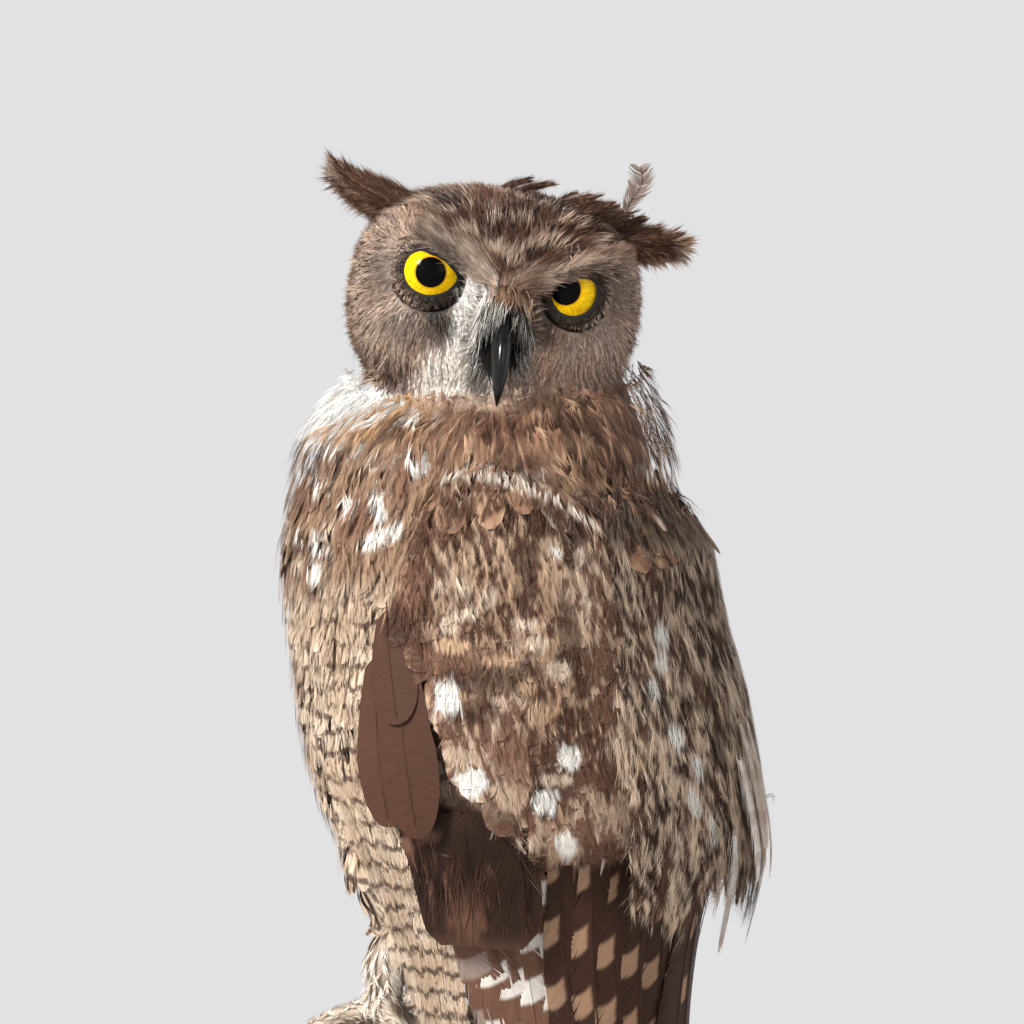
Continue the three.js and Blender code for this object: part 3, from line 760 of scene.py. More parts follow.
# ---------------------------------------------------------------- materials
class Graph:
    """Short names for making shader nodes."""

    def __init__(self, name):
        self.material = bpy.data.materials.new(name)
        self.material.use_nodes = True
        self.tree = self.material.node_tree
        self.bsdf = self.tree.nodes["Principled BSDF"]

    def put(self, socket, value):
        if isinstance(value, bpy.types.NodeSocket):
            self.tree.links.new(value, socket)
        elif hasattr(socket.default_value, "__len__"):
            value = list(value)
            socket.default_value = value + [1.0] * (len(socket.default_value) - len(value))
        else:
            socket.default_value = value

    def node(self, kind, out=0, inputs=None, **settings):
        node = self.tree.nodes.new("ShaderNode" + kind)
        for key, value in settings.items():
            setattr(node, key, value)
        for key, value in (inputs or {}).items():
            self.put(node.inputs[key], value)
        return node.outputs[out]

    def math(self, operation, *values):
        node = self.tree.nodes.new("ShaderNodeMath")
        node.operation = operation
        for socket, value in zip(node.inputs, values):
            self.put(socket, value)
        return node.outputs[0]

    def ramp(self, value, low, high):
        """A smooth step from 0 at low to 1 at high."""
        return self.node("MapRange", inputs={0: value, 1: low, 2: high}, interpolation_type="SMOOTHSTEP")

    def mix(self, share, low, high, mode="MIX"):
        node = self.tree.nodes.new("ShaderNodeMix")
        node.data_type, node.blend_type = "RGBA", mode
        self.put(node.inputs[0], share)
        self.put(node.inputs[6], low)
        self.put(node.inputs[7], high)
        return node.outputs[2]

    def attribute(self, name):
        return self.node("Attribute", 1, attribute_name=name)

    def split(self, vector):
        node = self.tree.nodes.new("ShaderNodeSeparateXYZ")
        self.put(node.inputs[0], vector)
        return node.outputs

    def join(self, x, y, z):
        return self.node("CombineXYZ", inputs={0: x, 1: y, 2: z})

    def noise(self, vector, scale, detail=2.0, rough=0.5):
        inputs = {"Vector": vector, "Scale": scale, "Detail": detail, "Roughness": rough}
        return self.node("TexNoise", 0, inputs)

    def place(self):
        return self.node("TexCoord", 3)

    def bump(self, height, strength, distance):
        return self.node("Bump", inputs={"Height": height, "Strength": strength, "Distance": distance})

    def finish(self, **values):
        for key, value in values.items():
            self.put(self.bsdf.inputs[key.replace("_", " ")], value)
        return self.material


def feather_material(name, roughness=0.72, streaks=0.3, wobble_size=0.35, curve=-0.1, reach=0.28, edge=0.0, free=0.22,
                     middle=0.0, inner=0.02):
    """Colours a feather by where a point is on its vane: bars, a shaft streak, flecks and barbs."""
    g = Graph(name)
    u, v, barb = g.split(g.attribute("vane"))
    luck, phase, _ = g.split(g.attribute("seed"))
    strength, period, duty = g.split(g.attribute("bars"))
    _, fleck, streak = g.split(g.attribute("spots"))
    side = g.math("ABSOLUTE", u)
    seed = g.math("MULTIPLY", luck, 91.0)
    barb_noise = g.noise(g.join(barb, seed, g.math("MULTIPLY", side, 0.8)), 1.0, 2.0, 0.6)
    local = g.join(g.math("ADD", u, seed), g.math("MULTIPLY", v, 2.2), seed)
    wobble = g.noise(local, 1.7, 2.0)
    across = g.math("ADD", g.math("MULTIPLY", u, 1.3), g.math("MULTIPLY", seed, 3.0))
    patchy = g.noise(g.join(across, g.math("MULTIPLY", v, 3.4), seed), 2.0, 2.0, 0.6)
    shift = g.math("MULTIPLY", g.math("SUBTRACT", barb_noise, 0.5), reach)
    wander = g.math("ADD", g.math("MULTIPLY", g.math("SUBTRACT", wobble, 0.5), wobble_size), shift)
    aside = g.math("SUBTRACT", u, middle)
    along = g.math("ADD", g.math("ADD", v, wander), g.math("MULTIPLY", g.math("MULTIPLY", aside, aside), curve))
    turn = g.math("DIVIDE", g.math("ADD", along, g.math("ADD", phase, g.math("MULTIPLY", luck, free))), period)
    from_middle = g.math("ABSOLUTE", g.math("SUBTRACT", g.math("FRACT", turn), 0.5))
    bar = g.ramp(g.math("SUBTRACT", from_middle, g.math("MULTIPLY", duty, 0.5)), 0.05, -0.05)
    if edge:
        bar = g.math("MULTIPLY", bar, g.ramp(g.math("ADD", u, wander), inner, inner + 0.18))
    colour = g.mix(g.math("MULTIPLY", bar, strength), g.attribute("ground"), g.attribute("mark"))
    blotch = g.ramp(g.math("ADD", side, wander), 0.68, 0.34)
    blotch = g.math("MULTIPLY", g.math("MULTIPLY", blotch, g.ramp(g.math("ADD", v, shift), 0.1, 0.3)), streak)
    colour = g.mix(blotch, colour, g.attribute("mark"))
    patch = g.ramp(g.math("ADD", patchy, g.math("MULTIPLY", shift, 0.35)), 0.5, 0.6)
    colour = g.mix(g.math("MULTIPLY", patch, fleck), colour, g.attribute("pale"))
    tone = g.node("MapRange", inputs={0: barb_noise, 1: 0.3, 2: 0.7, 3: 1 - streaks, 4: 1 + streaks})
    # darker towards both edges of the vane: partly the webs' darker margins and partly painted shade between
    # overlapping feathers
    if edge:
        tone = g.math("MULTIPLY", tone, g.math("SUBTRACT", 1.0, g.math("MULTIPLY", g.ramp(side, 0.72, 1.0), edge)))
    colour = g.mix(1.0, colour, g.join(tone, tone, tone), "MULTIPLY")
    return g.finish(
        Base_Color=colour,
        Roughness=roughness,
        Specular_IOR_Level=0.12,
        Sheen_Weight=0.03,
        Sheen_Roughness=0.5,
        Normal=g.bump(barb_noise, 0.3, 0.0003),
    )


PLUME = feather_material("plume")
VANE = feather_material("vane", roughness=0.6, streaks=0.12, wobble_size=0.25, reach=0.1)
QUILL_VANE = feather_material("quill_vane", roughness=0.55, streaks=0.12, wobble_size=0.08, curve=-0.3, reach=0.06,
                              edge=0.25, free=0.06, middle=0.3, inner=-0.75)
INNER_VANE = feather_material("inner_vane", roughness=0.55, streaks=0.12, wobble_size=0.1, curve=-1.2, reach=0.08,
                              edge=0.3, free=0.08, middle=0.6)
HAIRY = feather_material("hairy", roughness=0.8)
NAPPED = feather_material("napped", roughness=0.8, streaks=0.16, wobble_size=0.12, reach=0.14, free=0.1)

# ---------------------------------------------------------------- markings
def grain(u, v, seed):
    """Smooth noise from 0 to 1 over a plane, one cell to a unit."""
    table = np.random.default_rng(seed).random((64, 64))
    i, j = np.floor(u).astype(int), np.floor(v).astype(int)
    s, t = smoothstep(0, 1, u - i), smoothstep(0, 1, v - j)
    low = table[i % 64, j % 64] * (1 - s) + table[(i + 1) % 64, j % 64] * s
    high = table[i % 64, (j + 1) % 64] * (1 - s) + table[(i + 1) % 64, (j + 1) % 64] * s
    return low * (1 - t) + high * t


def marked(ground, u, z, fray, marks):
    """Ground colours with marks over them: degrees round the body, height, half width and half height in mm,
    lean in degrees, colour and strength. fray is noise that frays the marks' edges."""
    for degrees, height, wide, tall, lean, colour, strength in marks:
        across, up = u - degrees * MM_PER_DEGREE, z - height
        near = np.flatnonzero((np.abs(across) < wide + tall + 2) & (np.abs(up) < wide + tall + 2))
        c, s = math.cos(math.radians(lean)), math.sin(math.radians(lean))
        a, b = across[near] * c + up[near] * s, up[near] * c - across[near] * s
        away = (np.abs(a / wide) ** 2.6 + np.abs(b / tall) ** 2.6) ** (1 / 2.6) + fray[near] / (wide + tall)
        ground[near] = blend(ground[near], colour, strength * smoothstep(1.1, 0.88, away))
    return ground


def feather_cells(u, z, wide, tall, seed):
    """A staggered net of feather places: each point's place in its cell, about -1 to 1, and the cell's luck."""
    table = np.random.default_rng(seed).random((3, 64, 64))
    row = np.floor(z / tall).astype(int)
    along = u / wide + 0.5 * (row % 2)
    column = np.floor(along).astype(int)
    jitter = table[:, row % 64, column % 64]
    a = (along - column - 0.5) * 2 + 0.4 * (jitter[0] - 0.5)
    b = (z / tall - row - 0.5) * 2 + 0.5 * (jitter[1] - 0.5)
    return a, b, jitter[2]


MM_PER_DEGREE = 1.4


def unrolled(points):
    """For points of the body: degrees from straight ahead on either side, the same in mm, and height."""
    angle = np.abs(body_angle(points))
    return angle, angle * MM_PER_DEGREE, points[:, 2]


OCHRE = linear("#b68c60")
WARM = linear("#7b5947")
LEADING_EDGE = ((228, 246, 263, 281, 306, 331, 350, 362, 371), (86, 76.5, 73.5, 75.5, 80, 86, 90, 94, 100))
BREAST_MARKS = [
    (44, 370, 9, 5.5, 0, UMBER, 0.85), (74, 381, 8, 5, 0, UMBER, 0.9), (81, 365, 5, 9, 5, WARM, 0.9),
    (39, 357, 6, 6.5, 0, WARM, 0.9), (66, 350, 8, 8, 0, WARM, 0.85), (42, 339, 6.5, 6, 0, UMBER, 0.75),
    (50, 326, 5.5, 5.5, 0, WARM, 0.8), (25, 345, 4, 14, 0, UMBER, 0.7), (22, 372, 4, 12, 12, UMBER, 0.6),
    (34, 291, 5, 6.5, 0, WARM, 0.8), (28, 271, 6, 9, 0, WARM, 0.7), (14, 360, 5, 8, 0, WARM, 0.8),
    (6, 338, 6, 6, 0, UMBER, 0.7),
    (36, 376, 5.5, 1.9, 0, WHITE, 0.9), (51, 373, 4.8, 2.6, -15, WHITE, 0.9), (33, 365, 3.8, 3, -20, WHITE, 0.85),
    (47, 361, 2.7, 5, 25, WHITE, 1), (62, 354, 5, 2.6, 30, WHITE, 1), (74, 354, 2.9, 6, 38, WHITE, 1),
    (70, 369, 7, 2, 30, CREAM, 0.8), (62, 384, 5, 2.6, 25, WHITE, 0.85), (81, 384, 4, 3, -20, WHITE, 0.8),
    (39, 343, 3.8, 3.3, 0, WHITE, 1), (51, 340, 2.7, 5, 25, WHITE, 1), (55, 346, 2.6, 4.6, 0, CREAM, 0.9),
    (74, 342, 6.5, 3, 15, WHITE, 0.85), (82, 345, 3.2, 3, 0, WHITE, 0.9), (51, 330, 5, 4, -10, WHITE, 1),
    (42, 333, 4, 3, 10, CREAM, 0.9), (27, 354, 1.8, 5, 10, CREAM, 0.8), (30, 363, 2.4, 3, 0, CREAM, 0.7),
    (86, 368, 2.4, 5, 40, WHITE, 0.85), (24, 330, 2.6, 4, 0, WHITE, 0.6), (12, 348, 2.8, 4.5, -20, WHITE, 0.9),
    (18, 348, 2.8, 4.5, 20, WHITE, 0.9), (4, 368, 4.5, 2.5, 0, WHITE, 0.9),
]
BAR_PERIOD, BAR_STRENGTH, BAR_SHARE = 7.6, 0.85, 0.27


def belly_share(z, cloud):
    """1 on the belly, 0 on the breast."""
    return smoothstep(334, 318, z + 8 * (cloud - 0.5))


def belly_bars(angle, z):
    """How strong the belly's bars are at each place, and how far they sag there, in mm."""
    u = angle * MM_PER_DEGREE
    a, _, luck = feather_cells(u, z, 11, 22, 55)
    broken = smoothstep(0.3, 0.5, grain(u / 3.0, z / 5, 56) + 0.25 * smoothstep(300, 220, z))
    return broken * belly_share(z, grain(u / 10, z / 13, 52)), 2.4 * np.abs(a) + 2.0 * luck


def body_coat_paint(points):
    """The body's colours for the coat, whose bars are the feathers' own."""
    return body_paint(points, False)


def body_paint(points, barred=True):
    """The throat, breast, belly, nape and back, as a colour for each point."""
    angle, u, z = unrolled(points)
    fibre = grain(u / 0.8, z / 6, 51)
    blot = grain(u / 3.2, z / 8, 53)
    cloud = grain(u / 10, z / 13, 52)
    fray = 6 * (grain(u / 1.1, z / 3.5, 54) - 0.5)
    ground = blend(blend(TAN, WARM, 0.5 * cloud), blend(TAN, BUFF, 0.4 + 0.6 * cloud),
                   smoothstep(0.2, 0.75, 0.5 * fibre + 0.5 * blot))
    ochre = smoothstep(374, 380, z) * smoothstep(92, 70, angle) * 0.7 * smoothstep(0.2, 0.6, blot)
    ground = blend(ground, OCHRE, ochre)
    ground = ground * np.interp(z, [300, 340, 372, 376], [0.85, 0.7, 0.72, 1.0])[:, None]
    belly = belly_share(z, cloud)
    pale = blend(blend(BUFF, CREAM, 0.2 + 0.6 * fibre), CREAM * 1.08, smoothstep(0.35, 0.8, cloud))
    pale = pale * np.interp(z, [250, 320], [1.0, 0.8])[:, None]
    ground = blend(ground, pale, belly)
    if barred:
        # thin dark bars that sag between the feathers' shafts
        strength, sag = belly_bars(angle, z)
        turn = (z + sag) / BAR_PERIOD
        bar = smoothstep(0.2, 0.09, np.abs(turn - np.floor(turn) - 0.5)) * strength
        ground = blend(ground, UMBER, bar * BAR_STRENGTH)
    # mottled nape, shoulders and back
    back = smoothstep(88, 104, angle + 14 * (cloud - 0.5))
    a, b, luck = feather_cells(u, z, 13, 15, 57)
    dark = smoothstep(1.15, 0.6, np.hypot(a * 1.1, b) + 0.12 * fray)
    light = smoothstep(0.35, 0.7, blot + 0.2 * (cloud - 0.5))
    mantle = blend(blend(WARM, TAN, fibre), blend(TAN, BUFF, fibre), light)
    mantle = blend(mantle, blend(UMBER, BROWN, fibre), dark * 0.85 * (luck < 0.8))
    oval = smoothstep(1.2, 0.8, np.hypot((np.abs(a) - 0.62) / 0.3, (b + 0.35) / 0.45) + 0.1 * fray)
    mantle = blend(mantle, blend(CREAM, WHITE, luck), oval * 0.9 * (luck < 0.42) * (z < 368))
    ground = blend(ground, mantle * blend(1.0, 1.2, smoothstep(368, 378, z) * smoothstep(145, 125, angle)), back)
    ground = marked(ground, u, z, fray, BREAST_MARKS)
    throat = smoothstep(-1.5, 1.5, z - np.interp(angle, [0, 30, 52, 72, 80], [376, 379, 387, 396, 420]) + 0.5 * fray)
    ground = blend(ground, WHITE * 1.05, throat)
    chin = smoothstep(384, 392, z) * smoothstep(74, 88, angle) * smoothstep(145, 125, angle)
    ground = blend(ground, blend(WARM, CREAM, smoothstep(0.3, 0.7, fibre)), chin * 0.7)
    return ground


# ---------------------------------------------------------------- body plumage
DOWNWARD = np.array([0.0, 0.0, -1.0])
BODY_OWNERS = ["neck", "trunk"]
PLAIN = np.ones(3)
UNMARKED = (0, 1, 0.3)


def barred_looks(angles, heights, shade, barred=True):
    """Looks of feathers at these angles and heights of the body, barred on the belly."""
    strength, sag = belly_bars(angles, heights) if barred else (0 * angles, 0 * angles)
    count = len(angles)
    bars = np.stack([BAR_STRENGTH * strength, np.full(count, BAR_PERIOD / 10), np.full(count, BAR_SHARE)], axis=1)
    look = looks(count, PLAIN, UMBER, CREAM, bars, (0, 0.05, 0), shade=shade)
    look["shift"] = sag / 10
    return look


BELLY_TOP, NECK_FOOT, BACK_EDGE = 300, 372, 95  # heights in mm, and degrees from straight ahead


def body_feathers():
    """The contour feathers of neck, breast, belly and back, and then the loose ends of their barbs."""
    def bare(points, _):
        """Where the folded wing doesn't cover the body."""
        angle, _, z = unrolled(points)
        under_wing = (angle > np.interp(z, *LEADING_EDGE) + 7) & (angle < 152) & (z < 352) & (z > 205)
        return ~under_wing

    def places(angle, z):
        return {
            "breast": (angle < BACK_EDGE) & (z >= BELLY_TOP) & (z < NECK_FOOT),
            "belly": (angle < BACK_EDGE) & (z < BELLY_TOP),
            "neck": z >= NECK_FOOT,
            "back": (angle >= BACK_EDGE) & (z < NECK_FOOT),
        }

    roots, normals, owners = scattered(5.6, BODY_OWNERS, bare)
    count = len(roots)
    headings = swayed(np.broadcast_to(DOWNWARD, roots.shape), normals, 9)
    z = roots[:, 2]
    length = np.interp(z, [190, 230, 330, 380, 410], [20, 26, 30, 26, 18]) * np.exp(rng.normal(0, 0.08, count))
    half_width = np.interp(z, [190, 230, 330, 380, 410], [5.5, 6.5, 8.5, 7.5, 5]) * np.exp(rng.normal(0, 0.08, count))
    depth = np.array([coat_depth(owner) for owner in owners])
    look = barred_looks(np.abs(body_angle(roots)), z, 0.1)
    half_width = half_width * np.interp(z, [366, 376], [1.0, 0.7])
    depth = depth * np.interp(z, [366, 376], [1.0, 0.72])
    loose = rng.random(count) < 0.15
    for name, here in places(np.abs(body_angle(roots)), z).items():
        coat = Coat()
        for shapes, kind in ((SHAGGY, loose), (CONTOUR, ~loose)):
            chosen = here & kind & (z < 377)
            lay(coat, shapes, roots[chosen], headings[chosen], length[chosen], half_width[chosen],
                depth[chosen], chosen_looks(look, chosen))
        coat.build(f"{name}_feathers", "plumage", NAPPED, paint=body_coat_paint)

    # the loose ends of the barbs, which hide the feathers' outlines
    roots, normals, owners = scattered(2.6, BODY_OWNERS, bare)
    count = len(roots)
    headings = swayed(np.broadcast_to(DOWNWARD, roots.shape), normals, 13)
    z = roots[:, 2]
    depth = np.array([coat_depth(owner) for owner in owners]) + 0.9
    length = rng.normal(12, 1.6, count) * np.interp(z, [200, 380, 400], [0.9, 1.0, 0.8])
    look = barred_looks(np.abs(body_angle(roots)), z, 0.13)
    ruff = (z > 373) & (rng.random(count) < 0.7)
    for name, here in places(np.abs(body_angle(roots)), z).items():
        coat = Coat()
        lay(coat, NAP, roots[here], headings[here], length[here], np.full(here.sum(), 3.0), depth[here],
            chosen_looks(look, here), base=0.86)
        if name == "neck":
            lay(coat, NAP, roots[ruff], swayed(headings[ruff], normals[ruff], 20), length[ruff] * 0.75,
                np.full(ruff.sum(), 2.6), depth[ruff] + 1.4, chosen_looks(look, ruff), base=0.8)
        coat.build(f"{name}_nap", "plumage", NAPPED, paint=body_coat_paint)


body_feathers()


# ---------------------------------------------------------------- wings and tail
WING_SHELL = np.array([  # z, y of the middle, half width and half depth of the folded wings' outside
    (371, -4, 56, 52), (362, -5, 68, 68), (350, -5, 76, 76), (331, -4, 82, 82), (306, -3, 85, 85),
    (281, -2, 85, 85), (263, 0, 84, 85), (246, 2, 81, 84), (238, 3, 79, 82), (226, 6, 72, 70),
    (199, 6, 66, 62), (169, 10, 52, 52), (130, 16, 43, 44), (95, 23, 35, 34), (72, 30, 26, 24),
    (60, 34, 20, 17), (50, 37, 16, 12),
])[::-1]
SCAPULAR_SHELL = np.array([
    (354, -6, 66, 69), (340, -5, 78, 75), (313, -4, 83, 79.5), (288, -3, 86, 86), (263, 0, 86, 88),
    (240, 3, 84, 87.5), (228, 4, 82, 86), (219, 4, 80, 84), (190, 6, 72, 74),
])[::-1]
FLANK_SHELL = np.array([
    (262, 0, 78, 76), (240, 3, 71, 68), (215, 6, 61, 56), (190, 8, 53, 49), (160, 11, 47, 44),
])[::-1]


def wing_lines(shell, angles, heights, lifts, side):
    """Lines on a wing's outside. Each row of angles, heights and lifts holds a line's stations."""
    middle, wide, deep = (np.interp(heights, shell[:, 0], shell[:, column]) for column in (1, 2, 3))
    s, c = np.sin(np.radians(angles)), np.cos(np.radians(angles))
    points = np.stack([side * (wide + lifts) * s, middle - (deep + lifts) * c, heights], axis=-1)
    ups = unit(np.stack([side * s / wide, -c / deep, np.zeros_like(s)], axis=-1))
    return points, ups


WING_MARKS = [
    (110.5, 295.5, 16, 6.5, 0, UMBER, 0.8), (103, 302.5, 13, 4, 0, WARM, 0.7), (119.5, 332.5, 5, 11, 0, UMBER, 0.8),
    (125, 349, 7, 6, 0, UMBER, 0.8), (90, 326, 6, 8, 0, WARM, 0.7), (87, 313, 6, 9, 0, UMBER, 0.6),
    (132, 339, 5, 8, 0, DARK, 0.7), (128, 309, 4, 14, 0, UMBER, 0.7), (104, 284, 9, 4, 0, UMBER, 0.7),
    (112, 268, 6, 9, 0, WARM, 0.8), (119, 262, 3, 14, 0, UMBER, 0.5), (107, 245, 9, 5, 0, UMBER, 0.8),
    (98.8, 288.5, 4.4, 5.2, 0, WHITE, 1), (102.5, 259, 4.8, 5, 15, WHITE, 1), (119.4, 252.5, 4.2, 4.2, -30, WHITE, 1),
    (125.8, 267.5, 3.2, 4.6, 0, WHITE, 0.95), (124, 237.5, 3.6, 4, 30, WHITE, 0.85),
    (122.2, 260, 6, 2, 0, CREAM, 0.8),
    (100.8, 306, 5, 2.6, -5, BUFF * 1.15, 1), (100.2, 313, 2.6, 3, 20, CREAM, 0.8),
    (103.5, 316.5, 4.4, 2, 20, CREAM, 0.85),
    (117.8, 313.5, 5.4, 2, -5, CREAM, 0.85), (120.5, 307, 3.4, 2.8, -20, CREAM, 0.85),
    (124.8, 297.5, 3.6, 3.2, -20, CREAM, 0.8),
    (111.5, 301, 6, 1.8, -5, BUFF, 0.85), (117.2, 291.5, 3, 2.4, 30, BUFF, 0.85),
    (119.8, 282.5, 4.4, 2.6, 30, BUFF, 0.7),
    (103.2, 326, 2, 3.2, 10, CREAM, 0.8), (109.5, 322.5, 2.6, 3.4, 10, CREAM, 0.7),
    (98.2, 326.5, 2, 2, 0, CREAM, 0.6),
    (126.8, 338, 1.9, 2.2, 0, WHITE, 0.9), (132.4, 335, 1.6, 5, -20, CREAM, 0.8),
    (122.8, 329.5, 2.2, 3, 0, BUFF, 0.7),
    (116, 326.5, 2, 3.6, 0, BUFF, 0.7), (92.8, 288, 1.8, 2.6, 20, BUFF, 0.9), (113.8, 237.5, 3.2, 2, 0, CREAM, 0.8),
    (103, 239, 4, 1.5, -5, WHITE, 0.8), (118, 357, 2.4, 2.6, 0, TAN, 0.8), (87.5, 326, 2.8, 1.4, 0, BUFF, 0.7),
    (133, 322, 2, 3.4, 0, CREAM, 0.6), (98, 350, 1.6, 4, 20, TAN, 0.8),
]
SCAPULAR_MARKS = [
    (155, 309, 3.5, 4, 0, WHITE, 1), (153, 300.5, 3, 4, 0, WHITE, 1), (149, 291, 1.8, 3.6, 15, WHITE, 0.9),
    (153.5, 274, 2.8, 4.6, 12, WHITE, 1), (158.8, 262.5, 2.4, 4.4, 12, WHITE, 1),
    (156.5, 251, 2.2, 4.6, 18, WHITE, 1),
    (162, 242, 1.4, 6, 12, WHITE, 0.9), (178, 285.5, 2.6, 5, -5, CREAM, 0.9), (178, 293.5, 2, 2.8, 0, CREAM, 0.8),
    (143, 265, 2.4, 2, 0, BUFF, 0.8), (135.5, 222.5, 2.6, 3.2, 20, WHITE, 0.8), (150.5, 225, 1.8, 2.2, 0, CREAM, 0.8),
    (164, 290, 4, 7, 0, WARM, 0.5), (158, 283, 4, 4, 0, UMBER, 0.7), (168, 270, 3, 10, 5, DARK, 0.6),
]
EDGE_ARC = ((95, 98, 106, 113, 120.5, 129, 139, 146), (361, 366, 367.5, 365, 361, 357, 346, 336))


def wing_paint(points):
    """Brown with pale mottling along the barbs, square marks and a whitish upper edge."""
    angle, u, z = unrolled(points)
    fibre = grain(u / 0.7, z / 5, 61)
    cloud = grain(u / 9, z / 15, 62)
    zone = grain(u / 13, z / 12, 63)
    fray = 5 * (grain(u / 0.9, z / 3, 64) - 0.5)
    ground = blend(blend(UMBER, BROWN, fibre), blend(BROWN, WARM, 0.5 + 0.5 * fibre), smoothstep(0.3, 0.75, cloud))
    ground = blend(ground, blend(UMBER, BROWN, 0.4 + 0.6 * fibre), smoothstep(96, 88, angle) * 0.8)
    fleck = 0.6 * grain((u + 0.25 * z) / 1.7, z / 4.2, 65) + 0.4 * grain(u / 0.8, z / 2.6, 66)
    dense = smoothstep(0.35, 0.75, zone) * smoothstep(90, 99, angle) * smoothstep(352, 342, z)
    ground = ground * 0.86
    dense = 0.04 + 0.1 * smoothstep(92, 99, angle) + 0.27 * dense
    flecks = smoothstep(0.0, 0.06, fleck - (0.78 - dense))
    ground = blend(ground, blend(blend(TAN, BUFF, fibre), CREAM, 0.7 * cloud), flecks * 0.8)
    ground = marked(ground, u, z, fray, WING_MARKS)
    rise = z - np.interp(angle, *EDGE_ARC)
    wide = np.interp(angle, [95, 108, 128, 146], [3.2, 3.4, 2.0, 1.0])
    arc = smoothstep(wide + 1, wide - 0.8, np.abs(rise + 0.25 * fray))
    arc = arc * smoothstep(92, 96, angle) * smoothstep(148, 138, angle)
    ground = blend(ground, blend(CREAM, WHITE, fibre), arc * (0.9 - 0.5 * smoothstep(0.6, 0.75, fibre)))
    front = (angle - np.interp(z, *LEADING_EDGE)) * MM_PER_DEGREE
    return blend(ground, BUFF, smoothstep(1.6, 0.5, np.abs(front - 1.4 + 0.1 * fray)) * smoothstep(286, 300, z) * 0.6)


PATCH_MARKS = [
    (94.5, 212.5, 9, 7, 0, BROWN * 0.8, 0.9), (81.5, 236, 2.2, 4, 10, WARM, 0.8), (85, 222, 1.8, 5, -25, WARM, 0.7),
    (88, 240, 4, 2.5, 0, WARM, 0.7), (79, 226, 1.4, 3, 0, WARM, 0.6), (91, 226, 1.6, 2.2, 0, WARM, 0.6),
    (104, 230, 2.4, 2, 20, WARM, 0.5), (101, 218, 3, 2.4, 0, BROWN, 0.6),
]


def large_covert_paint(points):
    """The wing's own markings, and a smooth dark patch over the primaries' bases."""
    angle, u, z = unrolled(points)
    cloud = grain(u / 4, z / 6, 81)
    fray = 4 * (grain(u / 1.2, z / 3, 82) - 0.5)
    patch = blend(DARK, UMBER, 0.1 + 0.5 * cloud) * 0.72
    patch = marked(patch, u, z, fray, PATCH_MARKS)
    patch = blend(patch, BROWN * 0.8, smoothstep(205.5, 203, z + 0.4 * fray) * 0.6)
    return blend(patch, wing_paint(points), smoothstep(118, 120, angle))


def scapular_paint(points):
    """Dark brown, streaked all over with pale flecks that run along the barbs."""
    _, u, z = unrolled(points)
    slant = u + 0.28 * z
    fibre = grain(slant / 0.7, z / 6, 71)
    cloud = grain(u / 8, z / 13, 72)
    fray = 4 * (grain(slant / 0.8, z / 3, 73) - 0.5)
    ground = blend(blend(DARK, UMBER, fibre), blend(UMBER, WARM, fibre), smoothstep(0.3, 0.75, cloud)) * 0.85
    fleck = 0.65 * grain(slant / 1.3, z / 4.6, 74) + 0.35 * grain(slant / 0.7, z / 2.6, 75)
    flecks = smoothstep(0.0, 0.05, fleck - np.interp(grain(u / 7, z / 9, 76), [0.2, 0.8], [0.59, 0.41]))
    flecks = flecks * (1 - 0.7 * smoothstep(332, 345, z))
    ground = blend(ground, blend(BUFF, CREAM * 1.2, 0.3 + 0.7 * fibre), flecks * 0.92)
    return marked(ground, u, z, fray, SCAPULAR_MARKS)


